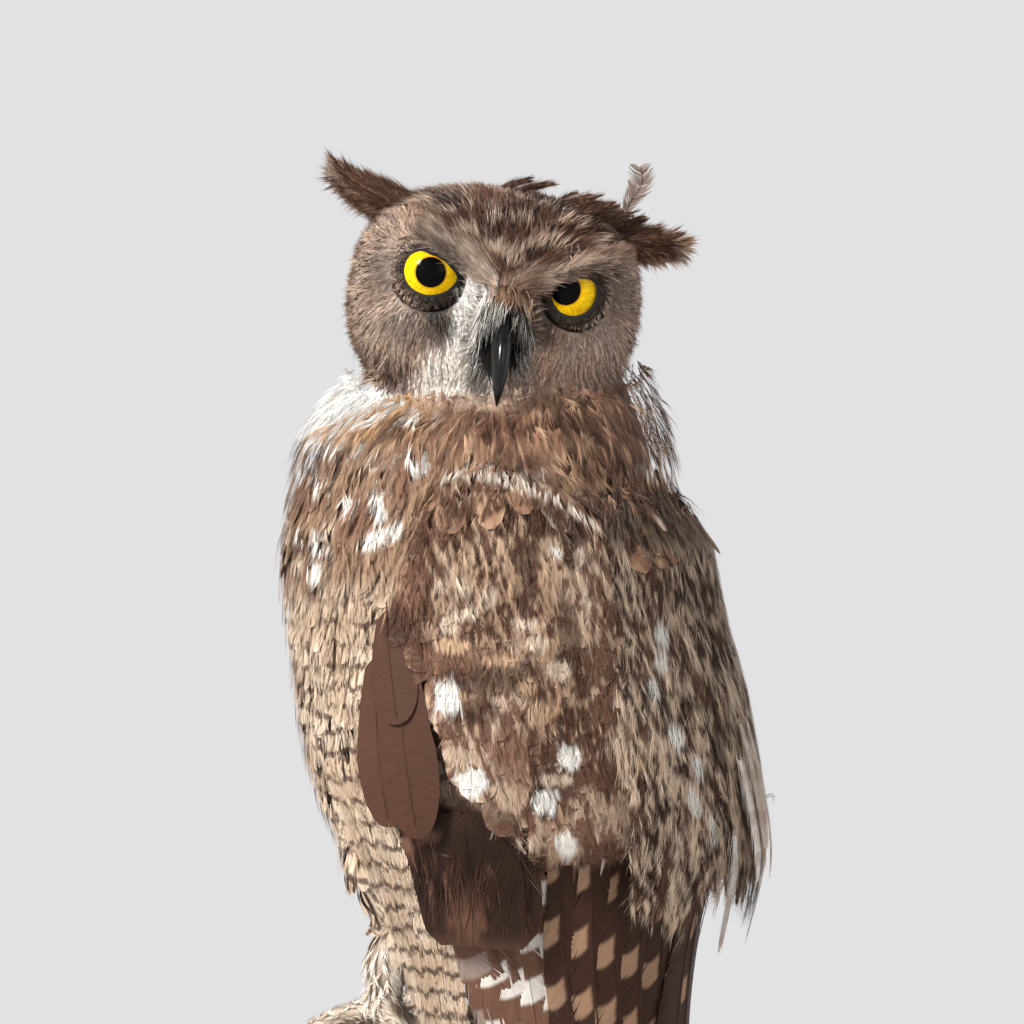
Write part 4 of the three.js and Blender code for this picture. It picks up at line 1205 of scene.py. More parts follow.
class Wing:
    """One folded wing. Every row of feathers is given by its roots' and tips' angles and heights."""

    STATIONS = np.linspace(0, 1, 7)

    def __init__(self, side):
        self.side = side

    def row(self, coat, shapes, root, tip, half_width, look, lift=(-5, 0), shell=WING_SHELL, tilt=4,
            jitter=(1.0, 1.5)):
        """root and tip are (angles, heights), and jitter is how far angles and the tips' heights stray."""
        count = len(root[0])
        t = self.STATIONS[None]
        wander = rng.normal(0, 1, (4, count))
        start, end = np.array(root[0], float), np.array(tip[0], float)
        start = start + wander[0] * jitter[0]
        end = end + wander[1] * jitter[0]
        high, low = np.array(root[1], float) + wander[2], np.array(tip[1], float) + wander[3] * jitter[1]
        angles = start[:, None] + (end - start)[:, None] * t
        heights = high[:, None] + (low - high)[:, None] * t
        low_lift, high_lift = (np.broadcast_to(np.asarray(value, float), count)[:, None] for value in lift)
        lifts = low_lift + (high_lift - low_lift) * t**0.8
        lines, ups = wing_lines(shell, angles, heights, lifts, self.side)
        length = np.linalg.norm(np.diff(lines, axis=1), axis=2).sum(axis=1)
        half_width = np.broadcast_to(np.asarray(half_width, float), count)
        twist = np.radians(-tilt + rng.normal(0, 1.5, count)) * self.side
        coat.add(shapes, lines, ups, half_width, length, look, mirror=self.side, twist=twist)

    def flight_feathers(self, outer, inner):
        """Ten primaries and seven secondaries, each from its root under the coverts to its tip."""
        k = np.arange(10)
        tips = np.array([95, 78, 66, 60, 60, 63, 68, 76, 84, 92])
        fan = np.interp(k, [0, 5, 9], [0, 5, 6.5])
        white = blend(WHITE, BUFF, 0.25 * np.ones(10)) * 0.95
        look = looks(10, blend(BROWN, WARM, 0.5 * np.ones(10)), white, CREAM, (1.0, 1.9, 0.46), shade=0.04)
        look["bars"][:2] = [(0.25, 1.9, 0.4), (1.0, 1.9, 0.34)]
        look["shift"] = 0.05 + 0.27 * k
        self.row(outer, QUILL, (86.5 + 7.6 * fan, 250 - k), (100.5 + 4.8 * fan, tips), 10, look,
                 (-11 + 0.3 * k, -3 + 0.35 * k), jitter=(0.2, 0.8))
        j = np.arange(7)
        look = looks(7, blend(DARK, UMBER, 0.75 * np.ones(7)), blend(TAN, BUFF, 0.25 * np.ones(7)), CREAM,
                     (0.95, 2.25, 0.38), shade=0.05)
        look["shift"] = 0.375 + 0.45 * j
        self.row(inner, SECONDARY, (121 + 9.8 * j, np.full(7, 250)), (133 + 8.8 * j, 106 + 6 * j), 11.5, look,
                 (-8 + 0.4 * j, -1.0 + 0.8 * j), jitter=(0.2, 0.4))

    def coverts(self, coat):
        """The large feathers over the bases of the primaries, and then of the secondaries."""
        i = np.arange(6)
        look = looks(6, PLAIN, BROWN, TAN, UNMARKED, (0, 0, 0), shade=0.05)
        self.row(coat, SOFT_COVERT, (83.5 + 4.6 * i, np.full(6, 264)), (87 + 4.6 * i, 200 - 0.4 * i), 11.5, look,
                 (-6 + 0.15 * i, 0.2 + 0.1 * i), jitter=(0.2, 0.6), tilt=0)
        i = np.arange(11)
        look = looks(11, PLAIN, UMBER, BUFF, UNMARKED, (0, 0.2, 0))
        tips = 232 - 1.2 * i + rng.normal(0, 3, 11)
        self.row(coat, SOFT_COVERT, (110 + 4.8 * i, np.full(11, 290)), (113 + 5.2 * i, tips), 9.5, look, (-7, 0.9),
                 jitter=(0.8, 2), tilt=1)

    def alula(self, coat):
        """Two large plain feathers and a small one above."""
        look = looks(3, UMBER * 1.15, DARK, TAN, UNMARKED, (0, 0, 0), shade=0.06)
        self.row(coat, SMOOTH, ([80, 82.5, 87], [306, 322, 316]), ([79.5, 86.5, 87], [243, 279, 239.5]),
                 np.array([9.5, 9.0, 11.5]), look, (-2.0, [1.6, 2.2, 2.6]), jitter=(0.0, 0.0), tilt=0)

    def upper_coverts(self, coat):
        """Small feathers at the wing's top edge that grow into large ones over the flight feathers."""
        angles, heights = [], []
        height = 352.0
        row = 0
        while height > 262:
            size = np.interp(height, [262, 300, 366], [10.5, 8.0, 5.2])
            spacing = math.degrees(size * 0.92 / np.interp(height, WING_SHELL[:, 0], WING_SHELL[:, 2]))
            start = np.interp(height, LEADING_EDGE[0], LEADING_EDGE[1]) + 3
            stop = np.interp(height, [340, 352], [137, 130])
            line = np.arange(start + (row % 2) * spacing / 2, stop, spacing)
            angles.append(line)
            heights.append(np.full(len(line), height))
            height -= size * 0.72
            row += 1
        angles, heights = np.concatenate(angles), np.concatenate(heights)
        count = len(angles)
        length = np.interp(heights, [262, 300, 366], [40, 30, 17]) * np.exp(rng.normal(0, 0.06, count))
        half_width = np.interp(heights, [262, 300, 366], [9.5, 8.2, 5.4])
        look = looks(count, PLAIN, UMBER, CREAM, UNMARKED, (0, 0.05, 0.12), shade=0.1)
        lean = 0.05 * (angles - 105)
        order = np.argsort(heights)
        clear = (angles > 109) | ((heights - length > 240) & ((angles > 97) | (heights > 310)))
        order = order[clear[order]]
        for shapes, kind in ((SOFT_COVERT, heights < 330), (CONTOUR, heights >= 330)):
            chosen = order[kind[order]]
            self.row(coat, shapes, (angles[chosen], heights[chosen] + 4),
                     ((angles + lean)[chosen], (heights - length + 4)[chosen]), half_width[chosen],
                     chosen_looks(look, chosen), (-3.2, np.interp(heights[chosen], [330, 348], [0.3, -2.2])),
                     jitter=(1.4, 2.2), tilt=0)

    def nap(self, coat, shapes, area, spacing, length, half_width, lift, shell=WING_SHELL, slant=0.0):
        """Loose barbs all over a part of the wing. area(angles, heights) tells where, and slant is how far, in
        degrees for each mm, they run forward."""
        low, high, front, back = 170, 368, 50, 186
        across = spacing / MM_PER_DEGREE
        angles, heights = np.meshgrid(np.arange(front, back, across), np.arange(low, high, spacing))
        angles, heights = angles.ravel(), heights.ravel()
        angles = angles + rng.uniform(-0.5, 0.5, len(angles)) * across
        heights = heights + rng.uniform(-0.5, 0.5, len(heights)) * spacing
        here = area(angles, heights)
        angles, heights = angles[here], heights[here]
        count = len(angles)
        reach = length * np.exp(rng.normal(0, 0.15, count))
        sway = rng.normal(0, 0.22, count) * reach / MM_PER_DEGREE - slant * reach
        look = barred_looks(angles, heights, 0.13, shell is FLANK_SHELL)
        self.row(coat, shapes, (angles - sway / 2, heights + reach / 2), (angles + sway / 2, heights - reach / 2),
                 np.full(count, half_width), look, lift, shell, jitter=(0, 0), tilt=0)

    def scapulars(self, coat):
        """Soft feathers in rows over the shoulder and the wing's rear."""
        angles, heights = [], []
        for row, height in enumerate(np.arange(232, 350, 8.0)):
            line = np.arange(139 + 3 * (height < 262) + (row % 2) * 2.6, 180, 5.4)
            angles.append(line)
            heights.append(np.full(len(line), height))
        angles, heights = np.concatenate(angles), np.concatenate(heights)
        count = len(angles)
        look = looks(count, PLAIN, DARK, CREAM, UNMARKED, (0, 0.1, 0.2), shade=0.12)
        self.row(coat, CONTOUR + SHAGGY, (angles, heights + 28), (angles + 0.06 * (angles - 150), heights - 14), 8.5,
                 look, (-6, 0.2), SCAPULAR_SHELL, jitter=(1.8, 4), tilt=0)

    def hanging(self, coat):
        """Long pale feathers that hang behind the wing."""
        look = looks(4, blend(CREAM, WHITE, np.array([0.9, 0.4, 0.9, 0.2])), TAN, WHITE, (0.3, 1.5, 0.3), (0, 0, 0.3))
        roots = ([173, 176, 169, 178], [270, 284, 246, 272])
        tips = ([176, 179, 171, 181], [222, 232, 197, 226])
        self.row(coat, PLUMELET, roots, tips,
                 [4.8, 4.4, 3.8, 4.0], look, (2, [6.5, 7.0, 2.5, 6.0]), SCAPULAR_SHELL)


def covert_area(angles, heights):
    """Where the coverts' loose barbs lie: behind the leading edge and before the shoulder."""
    front = np.interp(heights, *LEADING_EDGE) + 1.5
    low = np.interp(angles, [74, 92, 98, 108, 112, 135, 150], [312, 306, 262, 248, 233, 230, 245])
    high = np.interp(angles, [86, 95, 98, 106, 120, 139, 150], [350, 362, 367, 369, 363, 349, 338])
    return (angles > front) & (heights > low) & (heights < high) & (angles < 139)


def scapular_area(angles, heights):
    """Where the shoulder's loose barbs lie."""
    low = np.interp(angles, [136, 150, 165, 184], [214, 205, 215, 232])
    return (angles > np.interp(heights, [230, 345], [137, 141])) & (angles < 183) & (heights > low) & (heights < 348)


for side_name, side in SIDES.items():
    wing = Wing(side)
    outer, inner = Coat(), Coat()
    wing.flight_feathers(outer, inner)
    outer.build(f"primary_feathers_{side_name}", "flight_feathers", QUILL_VANE, [f"wing_{side_name}_primaries"])
    inner.build(f"secondary_feathers_{side_name}", "flight_feathers", INNER_VANE, [f"wing_{side_name}_secondaries"])
    large = Coat()
    wing.coverts(large)
    large.build(f"large_coverts_{side_name}", "wing_coverts", VANE, paint=large_covert_paint)
    alula = Coat()
    wing.alula(alula)
    alula.build(f"alula_{side_name}", "wing_coverts", VANE)
    upper = Coat()
    wing.upper_coverts(upper)
    upper.build(f"wing_coverts_{side_name}", "wing_coverts", PLUME, paint=wing_paint)
    loose = Coat()
    wing.nap(loose, NAP, covert_area, 3.0, 9.0, 2.6, (0.1, 0.8))
    loose.build(f"wing_covert_nap_{side_name}", "wing_coverts", NAPPED, paint=wing_paint)
    scapulars = Coat()
    wing.scapulars(scapulars)
    wing.nap(scapulars, NAP + STRAY, scapular_area, 2.7, 14.0, 3.0, (0.0, 1.6), SCAPULAR_SHELL, 0.15)
    scapulars.build(f"scapular_feathers_{side_name}", "plumage", NAPPED, paint=scapular_paint)
    hanging = Coat()
    wing.hanging(hanging)
    hanging.build(f"hanging_feathers_{side_name}", "plumage", PLUME)


TAIL_SHELL = np.array([  # z, y of the middle, half width, half thickness
    (226, 20, 23, 9), (190, 21, 25, 8), (150, 24, 28, 6), (100, 29, 31, 4.5), (60, 33, 33, 3.2), (34, 35.6, 30, 2),
])[::-1]


def tail_feathers():
    """Twelve long feathers, and the coverts over and under their roots."""
    coat = Coat()
    place = np.arange(12) - 5.5
    t = np.linspace(0, 1, 7)[None]
    heights = 226 - (226 - 36 - 0.9 * np.abs(place)[:, None]) * t
    middle, wide, thick = (np.interp(heights, TAIL_SHELL[:, 0], TAIL_SHELL[:, i]) for i in (1, 2, 3))
    across = place[:, None] * wide * (0.07 + 0.08 * t)
    share = np.clip(across / wide, -0.95, 0.95)
    behind = middle + thick * np.sqrt(1 - share**2) * (0.9 - 0.28 * np.abs(place)[:, None])
    lines = np.stack([across, behind, heights], axis=-1)
    ups = unit(np.stack([across * 0.012, np.ones_like(across), 0 * across], axis=-1))
    look = looks(12, BROWN * 1.1, UMBER, CREAM, (0.85, 2.6, 0.45), (0, 0.2, 0), shade=0.04)
    length = np.full(12, 190.0)
    for side in (1, -1):
        chosen = np.sign(place) == side
        coat.add(RECTRIX, lines[chosen], ups[chosen], np.full(6, 12.0), length[chosen], chosen_looks(look, chosen),
                 mirror=-side)
    # coverts over and under the tail's root
    for face, reach in ((1, 88), (-1, 78)):
        x = np.tile(np.linspace(-20, 20, 8), 4)
        top = np.repeat([236, 222, 208, 196], 8).astype(float)
        count = len(x)
        heights = top[:, None] + np.linspace(0, -(reach - 30), 5)[None] + rng.normal(0, 3, (count, 1))
        middle, wide, thick = (np.interp(heights, TAIL_SHELL[:, 0], TAIL_SHELL[:, i]) for i in (1, 2, 3))
        swell = np.sqrt(np.maximum(1 - (x[:, None] / (wide + 3)) ** 2, 0.05))
        out = middle + face * (thick * swell + np.linspace(-3, 1.0, 5)[None])
        lines = np.stack([np.broadcast_to(x[:, None], out.shape), out, heights], axis=-1)
        ups = unit(np.stack([lines[..., 0] * 0.03, np.full_like(out, face), 0 * out], axis=-1))
        ground = blend(TAN, BROWN, rng.random(count)) if face > 0 else blend(CREAM, BUFF, rng.random(count))
        look = looks(count, ground, UMBER, BUFF, (0.8, 1.1, 0.28), (0, 0.25, 0))
        coat.add(CONTOUR, lines, ups, np.full(count, 8.0), np.full(count, reach - 30.0), look)
    coat.build("tail_feathers", "flight_feathers", QUILL_VANE, ["tail"])


tail_feathers()

# ---------------------------------------------------------------- legs and feet
LEG_OWNERS = {part: [f"leg_{side}_{part}" for side in SIDES] for part in ("thigh", "tarsus")}
TOE_OWNERS = [f"toe_{side}_{digit}" for side in SIDES for digit in "1234"]


def leg_feathers():
    """Feathers of the thighs, and down on the shanks and the toes."""
    coat = Coat()
    roots, normals, owners = scattered(4.6, LEG_OWNERS["thigh"])
    count = len(roots)
    luck = rng.random(count)
    look = looks(count, blend(CREAM, BUFF, 0.5 * luck), UMBER, WHITE, (0.7, 0.8, 0.22), (0, 0.2, 0))
    headings = swayed(np.broadcast_to(DOWNWARD, roots.shape), normals, 10)
    length, half_width = rng.normal(19, 2, count), rng.normal(5, 0.5, count)
    lay(coat, CONTOUR, roots, headings, length, half_width, np.full(count, 5.5), look)
    coat.build("thigh_feathers", "leg_down", PLUME)
    coat = Coat(foot_unwrap)
    roots, normals, owners = scattered(2.6, LEG_OWNERS["tarsus"])
    count = len(roots)
    headings = swayed(np.broadcast_to(DOWNWARD, roots.shape), normals, 14)
    look = looks(count, blend(CREAM, WHITE, rng.random(count)), BROWN, WHITE, (0.35, 0.7, 0.25), (0, 0.2, 0))
    lay(coat, DOWN, roots, headings, rng.normal(10, 1.5, count), np.full(count, 2.6), np.full(count, 3.4), look, 3)
    roots, normals, owners = scattered(1.9, TOE_OWNERS)
    count = len(roots)
    ahead = np.array([0 if owner.endswith("1") or owner.endswith("4") else 1 for owner in owners])
    out = np.stack([roots[:, 0] * 0, roots[:, 1] - BRANCH_Y, roots[:, 2] - BRANCH_Z], axis=1)
    onward = np.cross(unit(out), np.array([1.0, 0, 0])) * np.where(ahead, 1, -1)[:, None]
    headings = swayed(onward, normals, 16)
    look = looks(count, blend(CREAM, WHITE, 0.6 * rng.random(count)), BROWN, WHITE, (0.0, 0.7, 0.2),
                 (0, 0.1, 0), shade=0.12)
    dark = rng.random(count) < 0.04
    look["ground"][dark] = UMBER
    lay(coat, DOWN, roots, headings, rng.normal(5.5, 0.8, count), np.full(count, 1.7), np.full(count, 1.9), look, 2)
    coat.build("foot_down", "leg_down", HAIRY)


leg_feathers()


def flank_feathers():
    """Long barred feathers that hang over the thigh, before the folded wing."""
    for side_name, side in SIDES.items():
        coat = Coat()
        wing = Wing(side)
        count = 90
        angles, heights = rng.uniform(50, 84, count), rng.uniform(198, 262, count)
        reach = rng.uniform(26, 36, count)
        look = barred_looks(angles, heights, 0.08)
        wing.row(coat, CONTOUR, (angles, heights), (angles + 1, heights - reach), 6.5, look, (-3, 0), FLANK_SHELL,
                 tilt=0)
        wing.nap(coat, NAP, flank_area, 2.7, 12.0, 2.8, (0.3, 1.2), FLANK_SHELL)
        coat.build(f"flank_feathers_{side_name}", "leg_down", NAPPED, paint=body_coat_paint)


def flank_area(angles, heights):
    front, back = np.interp(heights, [172, 205, 240], [34, 42, 54]), np.interp(heights, [172, 205, 262], [83, 85, 97])
    return (angles > front) & (angles < back) & (heights > 172) & (heights < 262)


flank_feathers()


# ---------------------------------------------------------------- head plumage
def eye_place(q):
    """For points of the head: the side of the nearer eye, the way from it across the face, and how far."""
    side = np.where(q[:, 0] >= (EYES["left"][0] + EYES["right"][0]) / 2, 1, -1)
    eye = np.where(side[:, None] > 0, EYES["left"], EYES["right"])
    away = q - eye
    away[:, 1] = 0
    return side, away, np.linalg.norm(away, axis=1)


BROW_EDGE = (  # across the face, and height
    [-50, -46, -36, -28, -24, -14, -5, 4, 12, 20, 30, 40, 50],
    [34, 34, 31, 24, 19, 11, 5, 1, 9, 14, 18.5, 22, 25],
)


def brow_height(x):
    """Height of the lower edge of the brow over the face, in head coordinates."""
    return np.interp(x, *BROW_EDGE)


def is_face(q, facing):
    """Whether points of the head, in head coordinates, are under the face's feathers."""
    near_eye = (eye_place(q)[2] < 14) & (q[:, 1] < -25)
    return (q[:, 1] < -4) & (near_eye | (facing[:, 1] < -0.15)) & (near_eye | (q[:, 2] < brow_height(q[:, 0])))


def opening(q):
    """Radius of the eye's opening in each point's direction from its eye."""
    side, away, _ = eye_place(q)
    degrees = np.degrees(np.arctan2(away[:, 2], away[:, 0]))
    return np.where(side > 0, aperture_radius("left", degrees), aperture_radius("right", degrees))


def crown_colour(q, luck):
    """Dark brown with pale flecks, paler on the nape and along the disc's edge."""
    patchy, fine, wide = drift(q, 5.0, 21), drift(q, 2.4, 24), drift(q, 14, 22)
    nape = smoothstep(10, 40, q[:, 1])
    ground = blend(DARK * 1.15, BROWN, np.clip(0.35 + 0.45 * wide + 0.2 * fine, 0, 1))
    ground = blend(ground, blend(BROWN, TAN, luck), nape * 0.5)
    fleck = smoothstep(0.3, 0.6, 0.75 * patchy + 0.45 * fine + 0.3 * (luck - 0.5))
    ground = blend(ground, blend(TAN, CREAM, 0.3 + 0.6 * luck), fleck * 0.8)
    rim = smoothstep(8, 2, q[:, 2] - brow_height(q[:, 0])) * smoothstep(0, -20, q[:, 1])
    return blend(ground, blend(TAN, CREAM, luck * 0.5), rim * 0.5 * (luck > 0.25))


def crown_paint(points):
    """The crown's colour for each point of its feathers."""
    q = to_head(points)
    return crown_colour(q, np.clip(0.5 + 0.5 * drift(q, 1.1, 25), 0, 1))


def speckle(points):
    """Small lighter and darker spots over the head."""
    q = to_head(points)
    spots = drift(q, 1.3, 41) + 0.6 * drift(q, 0.7, 42)
    return blend(0.7, 1.28, smoothstep(-0.7, 0.7, spots)) * PLAIN


def add_curved(coat, shapes, lines, up, half_width, reach, look, spread):
    """Feathers along given lines, one way up for each, turned at random by about spread radians."""
    ups = np.repeat(up[:, None], lines.shape[1], axis=1)
    coat.add(shapes, lines, ups, half_width, reach, look, twist=rng.normal(0, spread, len(lines)))


def crown_feathers():
    """Short feathers of the crown and nape, which run back from the bill."""
    def here(points, normals):
        return ~is_face(to_head(points), normals @ HEAD_AXES)

    roots, normals, _ = scattered(1.7, ["head"], here)
    q = to_head(roots)
    count = len(roots)
    heading = unit(q - BILL_BASE)
    heading[:, 2] -= smoothstep(0, 30, q[:, 1]) * 1.5
    heading[:, 0] += np.sign(q[:, 0]) * smoothstep(10, 25, np.abs(q[:, 0])) * smoothstep(20, -20, q[:, 1]) * 0.6
    headings = swayed(unit(heading) @ HEAD_AXES.T, normals, 14)
    look = looks(count, PLAIN, DARK, TAN, (0, 0.5, 0.4), (0, 0.1, 0), shade=0.14)
    length = rng.normal(9.5, 1.2, count) * np.interp(q[:, 2], [0, 12], [0.7, 1])
    for name, chosen in (("crown_feathers", q[:, 1] < 4), ("nape_feathers", q[:, 1] >= 4)):
        coat = Coat(head_unwrap)
        lay(coat, FRINGE, roots[chosen], headings[chosen], length[chosen], np.full(chosen.sum(), 2.2),
            np.full(chosen.sum(), 4.2), chosen_looks(look, chosen), 3)
        coat.build(name, "plumage", HAIRY, paint=crown_paint)


def face_colour(q, luck):
    """Ground colour of the face at head coordinates q."""
    x, z = q[:, 0], q[:, 2]
    side, away, reach = eye_place(q)
    blur = rng.normal(0, 1.2, len(q))
    warmth = np.clip(0.3 + 0.35 * drift(q, 9, 31) + 0.3 * (luck - 0.5), 0, 1)
    ground = blend(GREY, TAN, warmth) * blend(1.3, 1.85, smoothstep(5, 20, x))
    ground = blend(ground, CREAM, 0.55 * (drift(q, 1.8, 33) > 0.1) * (luck > 0.3))
    ground = blend(ground, blend(GREY, CREAM, 0.7 * luck), smoothstep(30, 40, np.abs(x)) * 0.5)
    rim = smoothstep(28, 34, reach + blur) * (np.abs(x) > 28)
    ground = blend(ground, UMBER, rim * (0.3 + 0.6 * (luck > 0.5)))
    # the dark patch below and inside each eye, and the lids' dark edge; the spot at (15.5, -3), under the inner
    # corner of the left eye, is painted shade
    for centre_x, centre_z, wide, tall, strength in (
        (-19.5, -9, 7.5, 5, 0.95), (-26, -13, 13, 6, 0.5), (-15.5, 2, 3, 8, 0.9), (-41, 4, 4, 8, 0.4),
        # (15.5, -3) is painted shade under the left eye's inner corner
        (15.5, -3, 5, 9, 0.85), (11, 5, 5, 6, 0.9), (26, -9, 9, 4, 0.35), (40, 8, 4, 8, 0.4),
    ):
        spot = np.hypot((x - centre_x) / wide, (z - centre_z) / tall) + blur * 0.08
        ground = blend(ground, CHARCOAL, smoothstep(1.3, 0.7, spot) * strength)
    inner = 0.75 + 0.85 * smoothstep(0.4, -0.5, away[:, 0] * side / np.maximum(reach, 1))
    ground = blend(ground, CHARCOAL * 0.7, smoothstep(2.6, 1.0, (reach - opening(q) + blur * 0.4) / inner))
    # whitish between the eyes and down beside the bill, and cream on the left cheek that is painted lighter still, as
    # painted light where the cheek faces down into shade
    line = np.abs(x - np.interp(z, [-20, -10, 0, 10, 16], [-10, -9, -9.5, -12, -17])) + blur * 0.5
    wide = np.interp(z, [-20, -5, 10], [7, 8, 7])
    white = smoothstep(wide + 1.8, wide - 1.8, line) * smoothstep(-24, -16, z) * smoothstep(24, 15, z)
    ground = blend(ground, WHITE, white * 0.92)
    cheek = np.hypot((x + 12.5) / 14, (z + 28) / 12) + blur * 0.06
    # painted light: the cheek's cream is made 1.35 times lighter, because the cheek faces down into shade
    ground = blend(ground, blend(CREAM, WHITE, 0.5 + 0.5 * luck) * 1.35, smoothstep(1.2, 0.8, cheek) * 0.97)
    right_cheek = smoothstep(1.2, 0.6, np.hypot((x - 10) / 6, (z + 18) / 12))
    ground = blend(ground, GREY * 1.4, right_cheek * 0.7 * (luck > 0.45))
    beside = np.abs(x + 4.5 + 0.12 * (z + 20)) + blur * 0.3
    dark = smoothstep(4.2, 2.2, beside) * smoothstep(-8, -13, z) * smoothstep(-39, -33, z)
    return blend(ground, CHARCOAL, dark * 0.85)


def hairs_on_lids(count):
    """Places on the outer slopes of the lids."""
    turn = rng.uniform(0, 2 * math.pi, count)
    left = np.arange(count) % 2 == 0
    degrees = (np.degrees(turn) + 180) % 360 - 180
    radius = np.where(left, aperture_radius("left", degrees), aperture_radius("right", degrees))
    radius = radius + rng.uniform(0.3, 1.0, count) ** 0.8 * 7.5 - 1.9
    eye = np.where(left[:, None], EYES["left"], EYES["right"])
    place = eye + np.stack([np.cos(turn) * radius, np.full(count, -12.0), np.sin(turn) * radius], axis=1)
    return np.array([skin.nearest(point)[0] for point in from_head(place)])


def face_feathers():
    """Hair-like feathers that run outwards from the eyes and from the bill's root."""
    def here(points, normals):
        q = to_head(points)
        return is_face(q, normals @ HEAD_AXES) & (eye_place(q)[2] > opening(q) + 0.5)

    roots, normals, _ = scattered(1.05, ["head"], here)
    lid_roots = hairs_on_lids(2400)
    roots = np.vstack([roots, lid_roots])
    normals = np.vstack([normals, np.broadcast_to(-HEAD_AXES[:, 1], lid_roots.shape)])
    q = to_head(roots)
    _, away, reach = eye_place(q)
    count = len(roots)
    outward = unit(away)
    # between the eyes and beside the bill the feathers lie outwards from the bill's root
    from_bill = unit(q - BILL_BASE + np.array([0, 0, 8.0]))
    middle = (smoothstep(16, 8, np.abs(q[:, 0])) * smoothstep(13, 16, reach))[:, None]
    heading = unit(outward * (1 - middle) + from_bill * middle)
    heading[:, 2] -= 0.15
    headings = swayed(heading @ HEAD_AXES.T, normals, 13)
    length = np.interp(reach, [6, 9, 13, 20, 40], [1.8, 3.0, 4.8, 6.5, 8.5]) * np.exp(rng.normal(0, 0.12, count))
    depth = np.interp(reach, [9, 13, 18], [0.7, 1.4, 2.6]) + 1.8 * smoothstep(34, 42, np.abs(q[:, 0]))
    luck = rng.random(count)
    ground = face_colour(q, luck)
    look = looks(count, ground, UMBER, CREAM, (0.5, 0.26, 0.4), (0, 0.15, 0), shade=0.14)
    for name, here in (("face_feathers_left", q[:, 0] >= 0), ("face_feathers_right", q[:, 0] < 0)):
        disc = Coat(head_unwrap)
        lay(disc, HAIR, roots[here], headings[here], length[here], np.full(here.sum(), 1.25), depth[here],
            chosen_looks(look, here), 2)
        disc.build(name, "facial_disc", HAIRY, paint=speckle)


def disc_rim():
    """Dark feathers that stand out round the disc's outer edge."""
    def here(points, _):
        q = to_head(points)
        beside = (np.abs(q[:, 0]) > 33) & (q[:, 1] > -24) & (q[:, 1] < 2)
        return beside & (q[:, 2] > -36) & (q[:, 2] < 24)

    roots, normals, _ = scattered(1.9, ["head"], here)
    count = len(roots)
    reach = rng.uniform(4.5, 7.5, count)
    way = unit(normals * 0.8 + np.array([0, 0, -0.55]) + rng.normal(0, 0.25, (count, 3)))
    middle = roots + unit(normals + rng.normal(0, 0.1, (count, 3))) * (reach * 0.45)[:, None]
    lines = bezier(np.stack([roots, middle, roots + way * reach[:, None]], axis=1), 4)
    up = unit(np.cross(way, np.cross(normals, way)) + 1e-6)
    luck = rng.random(count)
    ground = blend(blend(DARK, UMBER, luck), blend(TAN, CREAM, luck), 0.8 * (rng.random(count) < 0.3))
    look = looks(count, ground, DARK, TAN, (0, 0.8, 0.3), (0, 0.1, 0), shade=0.14)
    coat = Coat(head_unwrap)
    add_curved(coat, FRINGE, lines, up, np.full(count, 1.7), reach, look, 0.5)
    coat.build("disc_rim", "facial_disc", HAIRY, paint=speckle)


def bezier(points, stations):
    """Points along quadratic curves. points is N by 3 by 3."""
    t = np.linspace(0, 1, stations)[None, :, None]
    a, b, c = (points[:, i : i + 1] for i in range(3))
    return a * (1 - t) ** 2 + 2 * b * t * (1 - t) + c * t**2


def brows():
    """From the bill's root up and outwards, overhanging the top of each eye."""
    coat = Coat(head_unwrap)
    x = np.concatenate([rng.uniform(-31, -3, 1400), rng.uniform(2, 50, 1900)])
    count = len(x)
    side = np.sign(x)
    above = rng.uniform(-0.5, 9, count)
    z = brow_height(x) + above
    start = np.stack([x, np.full(count, -44.0), z], axis=1)
    start = to_head(np.array([skin.nearest(point)[0] for point in from_head(start)]))
    start[:, 1] -= 1.0
    slope = np.where(side > 0, 0.48, 0.55)
    reach = rng.uniform(7, 12, count)
    way = unit(np.stack([side * np.ones(count), np.full(count, -0.1), slope + rng.normal(0, 0.22, count)], axis=1))
    low = smoothstep(5, -0.5, above)
    over_eye = smoothstep(4, 14, np.abs(x)) * smoothstep(46, 34, np.abs(x))
    out = (0.8 + 3.6 * smoothstep(8, 1, above) * over_eye)[:, None] * np.array([[0, -1.0, 0]])
    drop = np.stack([0 * x, 0 * x, -np.where(side > 0, 1.0, 0.5) * low], axis=1)
    middle = start + way * (reach * 0.5)[:, None] + out
    end = start + way * reach[:, None] + out * 0.8 + drop
    lines = from_head(bezier(np.stack([start, middle, end], axis=1), 4))
    up = unit(np.stack([0 * x, np.full(count, -1.0), np.full(count, 0.35)], axis=1)) @ HEAD_AXES.T
    luck = rng.random(count)
    patchy = drift(lines[:, 0], 6, 23)
    ground = blend(UMBER, blend(TAN, GREY, 0.6), np.clip(0.5 + 0.45 * patchy + 0.3 * (luck - 0.5), 0, 1))
    pale = np.where(side < 0, smoothstep(10, 4, above + 2 * patchy) * smoothstep(-33, -25, x),
                    0.7 * smoothstep(5, 1.5, above) * smoothstep(5, 10, x))
    ground = blend(ground, blend(CREAM, GREY * 1.4, 0.7 * luck), pale * 0.9)
    dark = smoothstep(1.6, 0.2, above) * np.where(side > 0, 0.9, 0.65) * smoothstep(6, 12, np.abs(x))
    ground = blend(ground, DARK, dark)
    look = looks(count, ground, DARK, TAN, (0.1, 0.5, 0.3), (0, 0.2, 0.1), shade=0.14)
    add_curved(coat, FRINGE, lines, up, rng.normal(1.9, 0.2, count), reach, look, 0.4)
    coat.build("brow_feathers", "plumage", HAIRY, paint=speckle)


